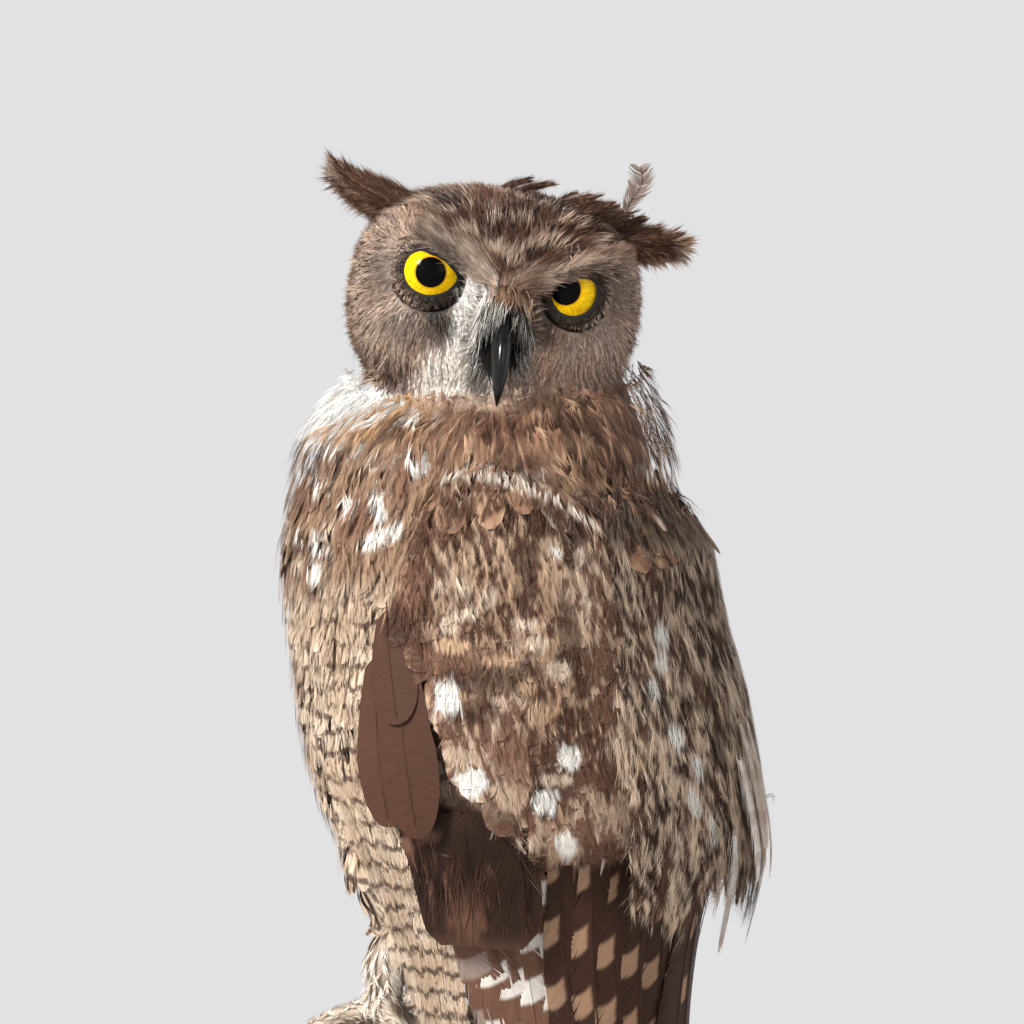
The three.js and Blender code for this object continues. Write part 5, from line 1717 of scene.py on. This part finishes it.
def bristles():
    """Stiff hair-like feathers round the bill's root, which hide it and run down beside it."""
    coat = Coat(head_unwrap)
    count = 1300
    side = np.where(rng.random(count) < 0.5, 1.0, -1.0)
    down = rng.random(count) ** 1.2
    x = side * (0.2 + 10 * rng.random(count)) + 0.8
    z = 5 - 25 * down
    start = to_head(np.array([skin.nearest(from_head(np.array([a, -50.0, b])))[0] for a, b in zip(x, z)]))
    lean = rng.normal(0, 1.0, (count, 3))
    reach = rng.uniform(11, 19, count) * (1 - 0.25 * down)
    close = smoothstep(9, 2, np.abs(x - 0.8))
    high = rng.random(count) < 0.3
    top = [0.8 + rng.normal(0, 2.6, count), rng.uniform(-43.5, -42, count), rng.uniform(-3, 7, count)]
    start[high] = np.stack(top, axis=1)[high]
    close = np.where(high, 1.0, close)
    reach = np.where(high, rng.uniform(8, 12, count), reach)
    middle = start + np.stack([side * (0.6 + close), -3.0 - 7 * close, -0.3 * reach], axis=1) + lean * 0.4
    end = start + np.stack([side * (1.0 + 3.5 * rng.random(count)), -2.5 - 9 * close, -reach], axis=1) + lean
    lines = from_head(bezier(np.stack([start, middle, end], axis=1), 5))
    up = unit(np.stack([side * 0.4, np.full(count, -1.0), 0 * x], axis=1)) @ HEAD_AXES.T
    luck = rng.random(count)
    low = smoothstep(-6, -12, z)
    share = np.where(side > 0, 0.5 - 0.4 * close, (0.95 - 0.5 * close) * (1 - low) + 0.45 * (1 - close) * low)
    white = (luck < share) & ~high
    ground = np.where(white[:, None], blend(WHITE, GREY, 0.5 * rng.random(count)), CHARCOAL)
    tawny = high & (start[:, 2] > rng.uniform(-3, 6, count))
    ground[tawny] = blend(BROWN, BUFF, rng.random(count))[tawny]
    look = looks(count, ground, CHARCOAL, WHITE, (0, 1, 0.3), (0, 0, 0), shade=0.2)
    add_curved(coat, BRISTLE, lines, up, np.full(count, 1.5), reach, look, 0.5)
    coat.build("bill_bristles", "facial_disc", HAIRY)


EAR_ROUTES = {
    "right": [(-28, -6, 23), (-44, -5, 28.5), (-55, -3, 33), (-66, -1, 38.5)],
    "left": [(30, -6, 26.5), (46, -5, 27), (56, -3, 27.5), (67, -1, 28)],
}


def along_route(route, t):
    """Points on a smooth line through a route's points, which may run a little past its ends."""
    knots = np.linspace(0, 1, len(route))
    powers = np.vander(knots, 4)
    return np.vander(np.ravel(t), 4) @ np.linalg.solve(powers, np.array(route, float))


def ear_tufts():
    """Long soft feathers along each tuft's route, before and behind, with loose barbs over them."""
    for name, route in EAR_ROUTES.items():
        coat = Coat(head_unwrap)
        count = 52
        t0 = rng.uniform(-0.15, 0.5, count)
        t1 = np.minimum(t0 + rng.uniform(0.4, 0.62, count), rng.uniform(0.8, 1.0, count))
        over = rng.uniform(-1, 1, count)
        steps = np.linspace(0, 1, 5)
        lines = np.empty((count, 5, 3))
        for k, s in enumerate(steps):
            t = t0 + (t1 - t0) * s
            spread = np.interp(t, [-0.15, 0.3, 0.7, 1.0], [8.0, 6.0, 3.8, 2.2])
            place = along_route(route, t)
            place[:, 2] += over * spread - 2.4 * s * (over < -0.2)
            place[:, 1] += -4.0 * (1 - over**2) * (1 - 0.8 * t) + rng.normal(0, 0.3, count)
            lines[:, k] = place
        length = np.linalg.norm(np.diff(lines, axis=1), axis=2).sum(axis=1)
        facing = unit(np.stack([0 * over, np.full(count, -1.0), over * 0.8], axis=1)) @ HEAD_AXES.T
        luck = rng.random(count)
        ground = blend(UMBER, BROWN, luck)
        spots = np.stack([0 * luck, 0.35 * (luck > 0.5), 0.6 + 0 * luck], axis=1)
        look = looks(count, ground, DARK, blend(TAN, BUFF, luck), (0.2, 0.8, 0.3), spots, shade=0.12)
        add_curved(coat, WISPY, from_head(lines), facing, rng.uniform(2.6, 3.8, count), length, look, 0.35)
        # the same feathers again behind, so that the tuft is as thick as it looks
        behind = lines.copy()
        behind[..., 1] += 5.0 * (1 - np.linspace(0, 0.7, 5))[None]
        add_curved(coat, WISPY, from_head(behind), -facing, rng.uniform(2.6, 3.8, count), length, look, 0.35)
        ear_fringe(coat, route)
        if name == "left":
            raised_feathers(coat)
        coat.build(f"ear_tuft_feathers_{name}", "plumage", HEAD_PLUME, [f"ear_tuft_{name}"], speckle)


def ear_fringe(coat, route):
    """Loose barbs over the tuft and along its edges, longest at its tip and lower edge."""
    count = 520
    t = rng.uniform(0.0, 0.93, count)
    over = rng.uniform(-1.15, 1.05, count)
    spread = np.interp(t, [0, 0.3, 0.7, 1.0], [7.4, 5.8, 3.8, 2.2])
    start = along_route(route, t)
    ahead = unit(along_route(route, t + 0.02) - start)
    start[:, 2] += over * spread
    behind = np.where(rng.random(count) < 0.35, 4.0, 0)
    start[:, 1] += -3.6 * (1 - np.clip(over, -1, 1) ** 2) * (1 - 0.8 * t) + behind * (1 - t)
    reach = rng.uniform(5, 8.5, count)
    splay = over * 0.35 - 0.35 * (over < -0.6) + rng.normal(0, 0.22, count)
    way = unit(ahead + np.stack([0 * t, rng.normal(-0.05, 0.12, count), splay], axis=1))
    middle = start + way * (reach * 0.5)[:, None]
    end = start + way * reach[:, None] + np.stack([0 * t, 0 * t, 0.8 * over - 0.3], axis=1)
    lines = from_head(bezier(np.stack([start, middle, end], axis=1), 4))
    up = unit(np.stack([0 * t, np.full(count, -1.0), 0.5 * over], axis=1)) @ HEAD_AXES.T
    luck = rng.random(count)
    ground = blend(DARK * 1.2, BROWN, luck)
    light = rng.random(count) < np.interp(over, [-1, -0.4, 0.4], [0.75, 0.4, 0.25])
    ground = blend(ground, blend(TAN, BUFF, luck), 0.75 * light)
    ground = blend(ground, blend(ASH, CREAM, luck), 0.6 * smoothstep(0.6, 0.95, t) * (over < 0.3))
    # painted light: the left tuft's barbs are made 1.7 times lighter, to lift that tuft out of the shade it sits in
    ground = ground * (1.7 if route[0][0] > 0 else 1.0)
    look = looks(count, ground, DARK, TAN, (0.1, 0.8, 0.3), (0, 0.2, 0.3), shade=0.14)
    add_curved(coat, FRINGE, lines, up, np.full(count, 1.9), reach, look, 0.5)


def raised_feathers(coat):
    """A ruffled edge on the crown, and one loose grey feather that stands up beside the left tuft."""
    x = np.concatenate([rng.uniform(16, 42, 46), rng.uniform(-8, 4, 12)])
    count = len(x)
    start = np.stack([x, rng.uniform(-26, 6, count), np.interp(x, [-8, 4, 16, 30, 42], [39, 39, 37, 33, 27])], axis=1)
    reach = rng.uniform(10, 16, count)
    lift = np.where(x > 10, rng.uniform(0.2, 0.65, count), rng.uniform(0.3, 0.5, count))
    way = unit(np.stack([np.ones(count), rng.normal(0, 0.3, count), lift], axis=1))
    middle = start + way * (reach * 0.5)[:, None] + np.array([0, 0, 1.2])
    end = start + way * reach[:, None]
    lines = from_head(bezier(np.stack([start, middle, end], axis=1), 4))
    up = unit(np.stack([-lift, rng.normal(-0.5, 0.4, count), np.ones(count)], axis=1)) @ HEAD_AXES.T
    luck = rng.random(count)
    look = looks(count, blend(UMBER, BROWN, luck), DARK, TAN, (0.1, 0.8, 0.3), (0, 0.3, 0.5), shade=0.12)
    add_curved(coat, WISPY, lines, up, rng.uniform(2.0, 3.0, count), reach, look, 0.4)
    loose = from_head([(41.5, -8, 32), (42, -8, 40), (45.5, -8, 48), (44, -8, 55)])
    up = np.broadcast_to(np.array([0, -1.0, 0]) @ HEAD_AXES.T, (1, 4, 3))
    look = looks(1, GREY * 0.8, ASH, CREAM, (0, 1, 0.3), (0, 0, 0.4))
    coat.add(OPEN, loose[None], up, np.array([5.2]), np.array([24.0]), look)


HEAD_PLUME = feather_material("head_plume", roughness=0.75, wobble_size=0.3, reach=0.2)
crown_feathers()
face_feathers()
disc_rim()
brows()
bristles()
ear_tufts()


# ---------------------------------------------------------------- eyes
def eye_material():
    """Yellow iris, black pupil and dark rim under a clear glass coat, painted round the eye's own axis."""
    g = Graph("eye")
    u, v, _ = g.split(g.attribute("iris"))
    r = g.math("SQRT", g.math("ADD", g.math("MULTIPLY", u, u), g.math("MULTIPLY", v, v)))
    angle = g.math("ARCTAN2", v, u)
    fibres = g.noise(g.join(g.math("MULTIPLY", angle, 9.0), g.math("MULTIPLY", r, 0.35), 3.0), 1.0, 3.0)
    mottle = g.noise(g.join(u, v, 7.0), 0.5, 3.0)
    tone = g.math("ADD", g.math("MULTIPLY", fibres, 0.6), g.math("MULTIPLY", mottle, 0.4))
    yellow = g.mix(g.ramp(tone, 0.35, 0.65), linear("#dca408"), linear("#fbd010"))
    inner = g.mix(g.ramp(r, 6.3, 5.3), yellow, linear("#c98f06"))
    outer = g.mix(g.ramp(r, 9.0, 10.4), inner, linear("#3a2c06"))
    colour = g.mix(g.ramp(r, 5.45, 5.25), outer, linear("#020202"))
    return g.finish(Base_Color=colour, Roughness=0.5, Specular_IOR_Level=0.02, Coat_Weight=1.0, Coat_Roughness=0.02,
                    Coat_IOR=1.16)


EYE_MATERIAL = eye_material()


def make_eye(name):
    """A glass ball whose mesh carries its own iris coordinates."""
    across, up, out = eye_axes(name)
    rings, count = 44, 64
    polar = np.linspace(0, math.pi, rings + 1)[1:-1]
    turn = np.arange(count) * 2 * math.pi / count
    r = EYE_RADIUS
    local = [np.array([[0.0, 0.0, r]])]
    for angle in polar:
        local.append(np.stack([r * math.sin(angle) * np.cos(turn), r * math.sin(angle) * np.sin(turn),
                               np.full(count, r * math.cos(angle))], axis=1))
    local.append(np.array([[0.0, 0.0, -r]]))
    local = np.vstack(local)
    triangles = [(0, 1 + i, 1 + (i + 1) % count) for i in range(count)]
    for row in range(len(polar) - 1):
        for i in range(count):
            a, b = 1 + row * count + i, 1 + row * count + (i + 1) % count
            triangles += [(a, a + count, b + count), (a, b + count, b)]
    last = len(local) - 1
    triangles += [(last, last - 1 - i, last - 1 - (i + 1) % count) for i in range(count)]
    points = EYES[name] + local[:, :1] * across + local[:, 1:2] * up + local[:, 2:] * out
    piece = mesh_object(f"glass_eye_{name}", from_head(points), np.array(triangles))
    point_attribute(piece, "iris", local)
    finish_piece(piece, EYE_MATERIAL, [f"eye_{name}"])


for side_name in SIDES:
    make_eye(side_name)


# ---------------------------------------------------------------- bill, claws, branch and stand
def swept(centres, across, radii, sides=28, ridge=0.0):
    """A closed tube round a line of points. radii are half width and half height at each, and ridge
    pinches the top into a keel."""
    centres = np.asarray(centres, float)
    count = len(centres)
    along = unit(np.gradient(centres, axis=0))
    up = unit(np.cross(along, across))
    turn = np.arange(sides) * 2 * math.pi / sides
    points = []
    for i in range(count):
        s, c = np.sin(turn), np.cos(turn)
        lift = s * radii[i][1] * (1 + ridge * np.maximum(s, 0) ** 6)
        points.append(centres[i] + np.outer(c * radii[i][0], across) + lift[:, None] * up[i])
    points.append(centres[:1] - along[:1] * 0.2 * radii[0][1])
    points.append(centres[-1:] + along[-1:] * 0.6 * radii[-1][1])
    first, last = count * sides, count * sides + 1
    triangles = ring_faces(count, sides)
    end = (count - 1) * sides
    for j in range(sides):
        k = (j + 1) % sides
        triangles += [(first, k, j), (last, end + j, end + k)]
    return np.vstack(points), np.array(triangles)


def horn_material():
    g = Graph("horn")
    place = g.place()
    grain = g.noise(place, 260.0, 3.0)
    fine = g.noise(place, 900.0, 2.0)
    height = g.math("ADD", g.math("MULTIPLY", grain, 0.7), g.math("MULTIPLY", fine, 0.3))
    return g.finish(
        Base_Color=g.mix(g.ramp(grain, 0.35, 0.7), linear("#050506"), linear("#121315")),
        Roughness=g.node("MapRange", inputs={0: fine, 1: 0.3, 2: 0.7, 3: 0.14, 4: 0.26}),
        Specular_IOR_Level=0.35,
        Normal=g.bump(height, 0.35, 0.0003),
    )


HORN = horn_material()
UPPER_BILL = [(0.5, -34, -1), (0, -41, -4), (0, -49, -8), (0.3, -57, -18), (0.9, -58.6, -28), (1.6, -55.5, -36)]
LOWER_BILL = [(0, -36, -18), (0, -40, -21), (0, -46, -24), (0, -51.5, -30)]


def smooth_route(route, stations):
    """Catmull-Rom points through a route."""
    value, _ = spline_weights(np.linspace(0, 1, stations), len(route))
    return value @ np.array(route, float)


def make_bill():
    """The two halves of the bill, hooked at the tip."""
    t = np.linspace(0, 1, 40)
    close = np.maximum((1 - t**1.9) ** 0.75, 0.07)
    flare = 1 + 0.35 * smoothstep(0.3, 0.05, t)
    radii = np.stack([4.9 * close * flare, 6.4 * close * flare], axis=1)
    axis = HEAD_AXES[:, 0]
    route = from_head(smooth_route(UPPER_BILL, 40))
    points, triangles = swept(route, axis, radii, 32, 0.12)
    piece = mesh_object("upper_bill", points, triangles)
    finish_piece(piece, HORN, ["bill_upper"])
    close = np.maximum((1 - t**2.2) ** 0.7, 0.1)
    radii = np.stack([4.7 * close, 3.0 * close], axis=1)
    route = from_head(smooth_route(LOWER_BILL, 40))
    points, triangles = swept(route, axis, radii, 28)
    piece = mesh_object("lower_bill", points, triangles)
    finish_piece(piece, HORN, ["bill_lower"])


TOE_ROUTE = 33.9
DIGITS = {"1": (-1, -20, 25, 17), "2": (1, -17, 35, 18), "3": (1, 13, 39, 18), "4": (-1, 30, 30, 16)}


def make_claws():
    """A curved claw at the end of each toe."""
    """digits give way round the branch, splay, length of toe and length of claw."""
    t = np.linspace(0, 1, 26)
    arch, tip, drop = 2.6, 0.35, 5.6 - 0.75 - 0.15
    for side_name, side in SIDES.items():
        for digit, (way, splay, length, claw) in DIGITS.items():
            distance = length - 2.0 + (claw + 2.4) * t
            share = np.clip((distance - length) / claw, 0, 1)
            height = arch * np.sin(math.pi * share**0.8) - drop * share**2
            turn = way * distance * math.cos(math.radians(splay)) / TOE_ROUTE
            radius = TOE_ROUTE + height
            route = np.stack([side * (FOOT_X + distance * math.sin(math.radians(splay))),
                              BRANCH_Y - radius * np.sin(turn), BRANCH_Z + radius * np.cos(turn)], axis=1)
            slim = 3.3 + (tip - 3.3) * t**0.85
            points, triangles = swept(route, np.array([1.0, 0, 0]), np.stack([slim * 0.8, slim], axis=1), 18)
            piece = mesh_object(f"talon_{side_name}_{digit}", points, triangles)
            finish_piece(piece, HORN, [f"claw_{side_name}_{digit}"])


def bark_material():
    g = Graph("bark")
    x, y, z = g.split(g.place())
    stretched = g.join(g.math("MULTIPLY", x, 0.3), y, z)
    plates = g.node("TexVoronoi", 0, {"Vector": stretched, "Scale": 150.0}, feature="DISTANCE_TO_EDGE")
    grain = g.noise(stretched, 320.0, 5.0, 0.65)
    lichen = g.noise(g.place(), 60.0, 4.0, 0.6)
    height = g.math("ADD", g.ramp(plates, 0.0, 0.22), g.math("MULTIPLY", grain, 0.8))
    wood = g.mix(g.ramp(grain, 0.3, 0.7), linear("#463a30"), linear("#8a7763"))
    wood = g.mix(g.math("MULTIPLY", g.ramp(plates, 0.12, 0.0), 0.7), wood, linear("#241c17"))
    wood = g.mix(g.math("MULTIPLY", g.ramp(lichen, 0.58, 0.7), 0.45), wood, linear("#a7a293"))
    return g.finish(Base_Color=wood, Roughness=0.92, Specular_IOR_Level=0.25, Normal=g.bump(height, 0.8, 0.0012))


def sawn_material():
    g = Graph("sawn_wood")
    x, y, z = g.split(g.place())
    away_y, away_z = g.math("SUBTRACT", y, BRANCH_Y * MM), g.math("SUBTRACT", z, BRANCH_Z * MM)
    r = g.math("SQRT", g.math("ADD", g.math("MULTIPLY", away_y, away_y), g.math("MULTIPLY", away_z, away_z)))
    warp = g.noise(g.place(), 45.0, 2.0)
    rings = g.math("SINE", g.math("MULTIPLY", g.math("ADD", r, g.math("MULTIPLY", warp, 0.004)), 3600.0))
    saw = g.noise(g.join(x, g.math("MULTIPLY", y, 0.05), z), 900.0, 2.0)
    colour = g.mix(g.ramp(rings, -0.8, 0.9), linear("#c9a878"), linear("#a07c50"))
    colour = g.mix(g.math("MULTIPLY", g.ramp(r, 0.022, 0.027), 0.8), colour, linear("#5b4733"))
    return g.finish(Base_Color=colour, Roughness=0.8, Normal=g.bump(g.math("ADD", rings, saw), 0.3, 0.0003))


BRANCH_RADIUS, BRANCH_END = 28, 82  # mm, the end from the middle


def make_branch():
    """The perch: ridged bark, sawn ends and the stub of a side twig."""
    rings, sides = 110, 120
    t = np.linspace(0, 1, rings)
    angle = np.arange(sides) * 2 * math.pi / sides
    x = (-BRANCH_END + 2 * BRANCH_END * t)[:, None] + 0 * angle[None]
    grip = 1 - smoothstep(52, 74, np.abs(x))
    bumps = np.sin(3 * angle + x / 17) * np.cos(2 * angle - x / 29)
    radius = BRANCH_RADIUS - 0.5 * grip * (1 + bumps) + 1.4 * (1 - grip) * bumps
    # bark that only sinks below the solid's surface: furrows along the branch
    flat = np.stack([x * 0.35, BRANCH_RADIUS * np.cos(angle) + 0 * x, BRANCH_RADIUS * np.sin(angle) + 0 * x], axis=-1)
    flat = flat.reshape(-1, 3)
    furrow = np.abs(drift(flat, 3.2, 41)) ** 0.6 + 0.5 * np.abs(drift(flat, 1.7, 42))
    radius = radius - np.clip(1.0 - furrow.reshape(radius.shape), 0, 1) * 1.1
    ends = np.minimum(1, (BRANCH_END - np.abs(x)) / 1.2)
    radius = radius - 1.2 * (1 - ends)
    slant = 0.12 * np.sin(angle) * BRANCH_RADIUS * np.sign(x) * smoothstep(70, BRANCH_END, np.abs(x))
    points = np.stack([x + slant, BRANCH_Y - radius * np.cos(angle), BRANCH_Z - radius * np.sin(angle)], axis=-1)
    points = points.reshape(-1, 3)
    triangles = ring_faces(rings, sides)
    bark_count = len(triangles)
    extra = []
    total = len(points)
    for end, flip in ((0, 1), (rings - 1, -1)):
        rim = points[end * sides : (end + 1) * sides]
        middle = rim.mean(axis=0)
        previous = np.arange(sides) + end * sides
        for share in (0.66, 0.33):
            extra.append(middle + (rim - middle) * share)
            ring = np.arange(sides) + total
            total += sides
            for j in range(sides):
                k = (j + 1) % sides
                triangles += [(previous[j], ring[j], ring[k])[::flip], (previous[j], ring[k], previous[k])[::flip]]
            previous = ring
        extra.append(middle[None])
        for j in range(sides):
            triangles.append((previous[j], total, previous[(j + 1) % sides])[::flip])
        total += 1
    # the stub
    root = np.array([-66.0, BRANCH_Y, BRANCH_Z])
    way = unit(np.array([-0.25, -0.86, -0.35]))
    t = np.linspace(0, 1, 24)
    size = 9 * (1.25 - 0.35 * t) * (1 - 0.03 * (np.sin(t * 40) + 1))
    stub, stub_triangles = swept(root + np.outer(t * 40, way), unit(np.cross(way, [0, 0, 1.0])),
                                 np.stack([size, size], axis=1), 36)
    points = np.vstack([points] + extra + [stub])
    triangles = np.vstack([np.array(triangles), stub_triangles + total])
    piece = mesh_object("perch_branch", points, triangles)
    finish_piece(piece, bark_material(), ["stand_perch"])
    piece.data.materials.append(sawn_material())
    sawn = np.zeros(len(triangles), np.int32)
    sawn[bark_count : len(triangles) - len(stub_triangles)] = 1
    sawn[-36:] = 1
    piece.data.polygons.foreach_set("material_index", sawn)
    ends = piece.data.attributes.get("sharp_face") or piece.data.attributes.new("sharp_face", "BOOLEAN", "FACE")
    ends.data.foreach_set("value", sawn.astype(bool))


def make_stand():
    """A turned walnut base and two blackened rods that stand on it."""
    profile = [  # radius and height of the turned edge
        (0, 0), (92.4, 0), (94.6, 0.7), (95.7, 1.8), (96, 3), (96, 8.6), (95.4, 9.2), (93.2, 10.6),
        (92.2, 12.4), (91.8, 14), (90.6, 15.2), (89.4, 17), (87.4, 17.8), (85, 18), (60, 18), (30, 18), (0, 18),
    ]
    profile = np.array(profile, float)
    sides = 144
    turn = np.arange(sides) * 2 * math.pi / sides
    ring = np.stack([np.cos(turn), np.sin(turn)], axis=1)
    points = np.concatenate([np.hstack([ring * max(r, 0.001), np.full((sides, 1), z)]) for r, z in profile])
    triangles = ring_faces(len(profile), sides)
    g = Graph("walnut")
    x, y, z = g.split(g.place())
    stretched = g.join(g.math("MULTIPLY", x, 0.12), y, z)
    bands = g.noise(stretched, 55.0, 4.0, 0.6)
    pores = g.noise(stretched, 900.0, 3.0, 0.7)
    wood = g.mix(g.ramp(bands, 0.3, 0.7), linear("#2b1a10"), linear("#5a3822"))
    wood = g.mix(g.math("MULTIPLY", g.ramp(pores, 0.6, 0.7), 0.5), wood, linear("#1a0f09"))
    walnut = g.finish(Base_Color=wood, Roughness=0.38, Coat_Weight=0.3, Coat_Roughness=0.25,
                      Normal=g.bump(pores, 0.15, 0.0003))
    piece = mesh_object("display_base", points, np.array(triangles))
    finish_piece(piece, walnut, ["stand_base"])
    g = Graph("blackened_rod")
    x, y, z = g.split(g.place())
    brushed = g.noise(g.join(x, y, g.math("MULTIPLY", z, 0.05)), 1400.0, 2.0)
    steel = g.finish(Base_Color=g.mix(brushed, linear("#18181a"), linear("#323236")), Metallic=0.85,
                     Roughness=g.node("MapRange", inputs={0: brushed, 3: 0.3, 4: 0.5}),
                     Normal=g.bump(brushed, 0.1, 0.0002))
    for name in SIDES:
        (left, front, low), (right, back, high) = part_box(f"stand_rod_{name}")
        middle = np.array([(left + right) / 2, (front + back) / 2]) / MM
        stations = np.array([low, low + 0.0008, low + 0.003, low + 0.0032, high - 0.001, high]) / MM
        radius = [6.5, 7.2, 7.0, 5.0, 5.0, 5.0]
        route = np.stack([np.full(6, middle[0]), np.full(6, middle[1]), stations], axis=1)
        points, triangles = swept(route, np.array([1.0, 0, 0]), [(r, r) for r in radius], 48)
        piece = mesh_object(f"support_rod_{name}", points, triangles)
        finish_piece(piece, steel, [f"stand_rod_{name}"])


make_bill()
make_claws()
make_branch()
make_stand()


# ---------------------------------------------------------------- skin piece
def skin_material():
    g = Graph("skin")
    grain = g.noise(g.place(), 500.0, 4.0, 0.6)
    colour = g.mix(g.ramp(grain, 0.3, 0.75), g.attribute("ground"), g.attribute("mark"))
    return g.finish(Base_Color=colour, Roughness=0.62, Specular_IOR_Level=0.35, Normal=g.bump(grain, 0.5, 0.0006))


def skin_colours(points):
    """The coat's markings again, a little darker, over the whole skin."""
    owners = np.array([cad_outer.owner(p) for p in points])
    ground = body_paint(points)
    for name, paint in (("arm", wing_paint), ("scapulars", scapular_paint)):
        here = np.char.endswith(owners, name)
        ground[here] = paint(points[here])
    ground[np.char.startswith(owners, "leg") | np.char.startswith(owners, "toe")] = CREAM
    q = to_head(points)
    luck = np.full(len(points), 0.5)
    here = owners == "head"
    ground[here] = crown_colour(q[here], luck[here])
    here &= (q[:, 1] < -20) & (q[:, 2] < brow_height(q[:, 0]))
    ground[here] = face_colour(q[here], luck[here])
    return ground * 0.55


def make_skin_piece():
    piece = mesh_object("skin", skin.points, skin.triangles)
    ground = skin_colours(skin.points)
    ground[bare_points:] = CHARCOAL * 0.35
    point_attribute(piece, "ground", ground)
    point_attribute(piece, "mark", ground * 1.4)
    finish_piece(piece, skin_material(), PLUMAGE_NODES)


make_skin_piece()

# ---------------------------------------------------------------- camera, lights and floor
CAMERA_AZIMUTH = 112.0
CAMERA_DISTANCE = 2.0
AIM = Vector((0, 0, 0.352))
FRAME_WIDTH = 0.3657
SENSOR = 36.0


def studio():
    """The photo's framing, three area lamps and a plain pale surround."""
    turn = math.radians(CAMERA_AZIMUTH)
    towards = Vector((math.sin(turn), -math.cos(turn), 0))
    camera_data = bpy.data.cameras.new("camera")
    camera = bpy.data.objects.new("camera", camera_data)
    bpy.context.scene.collection.objects.link(camera)
    camera.location = AIM + towards * CAMERA_DISTANCE
    camera.rotation_euler = (-towards).to_track_quat("-Z", "Y").to_euler()
    camera_data.sensor_width = SENSOR
    camera_data.lens = SENSOR * CAMERA_DISTANCE / FRAME_WIDTH
    bpy.context.scene.camera = camera

    right = Vector((math.cos(turn), math.sin(turn), 0))
    lamps = [
        ("key", towards * 1.2 - right * 1.3 + Vector((0, 0, 1.0)), 0.5, 62),
        ("fill", towards * 1.4 + right * 1.2 + Vector((0, 0, 0.6)), 1.2, 6),
        ("back", -towards * 1.2 - right * 0.4 + Vector((0, 0, 1.3)), 1.0, 12),
    ]
    for name, offset, size, power in lamps:
        data = bpy.data.lights.new(name, "AREA")
        data.size = size
        data.energy = power
        lamp = bpy.data.objects.new(name, data)
        lamp.location = AIM + offset
        lamp.rotation_euler = (-offset).to_track_quat("-Z", "Y").to_euler()
        bpy.context.scene.collection.objects.link(lamp)

    world = bpy.data.worlds.new("studio")
    world.use_nodes = True
    # pale round the horizon and below, dimmer overhead, so the lamps shape the plumage
    tree = world.node_tree
    place = tree.nodes.new("ShaderNodeTexCoord")
    apart = tree.nodes.new("ShaderNodeSeparateXYZ")
    level = tree.nodes.new("ShaderNodeMapRange")
    shade = tree.nodes.new("ShaderNodeMix")
    shade.data_type = "RGBA"
    shade.inputs[6].default_value = (0.76, 0.76, 0.77, 1)
    shade.inputs[7].default_value = (0.3, 0.3, 0.31, 1)
    for socket, value in zip(list(level.inputs)[1:5], (0.2, 0.5, 0, 1)):
        socket.default_value = value
    tree.links.new(place.outputs["Generated"], apart.inputs[0])
    tree.links.new(apart.outputs[2], level.inputs[0])
    tree.links.new(level.outputs[0], shade.inputs[0])
    tree.links.new(shade.outputs[2], tree.nodes["Background"].inputs[0])
    bpy.context.scene.world = world
    bpy.context.scene.view_settings.view_transform = "Standard"


FLOOR_RADII = (400.0, 800.0)
FLOOR_DROP = 0.5  # mm below the stand


def floor():
    """A plain pale floor under the stand."""
    count = 96
    turn = np.arange(count) * 2 * math.pi / count
    circles = [np.stack([r * np.cos(turn), r * np.sin(turn), np.full(count, -FLOOR_DROP)], axis=1)
               for r in FLOOR_RADII]
    points = np.vstack([[0, 0, -FLOOR_DROP]] + circles)
    inner, outer = np.arange(count) + 1, np.arange(count) + 1 + count
    triangles = [(0, inner[i], inner[(i + 1) % count]) for i in range(count)]
    for i in range(count):
        j = (i + 1) % count
        triangles += [(inner[i], outer[i], outer[j]), (inner[i], outer[j], inner[j])]
    piece = mesh_object("floor", points, np.array(triangles))
    g = Graph("floor")
    mottle = g.noise(g.place(), 12.0, 4.0)
    paper = g.finish(Base_Color=g.mix(mottle, (0.45, 0.45, 0.45), (0.5, 0.5, 0.5)), Roughness=0.9,
                     Normal=g.bump(g.noise(g.place(), 700.0, 3.0), 0.1, 0.0003))
    piece.data.materials.append(paper)


floor()
studio()
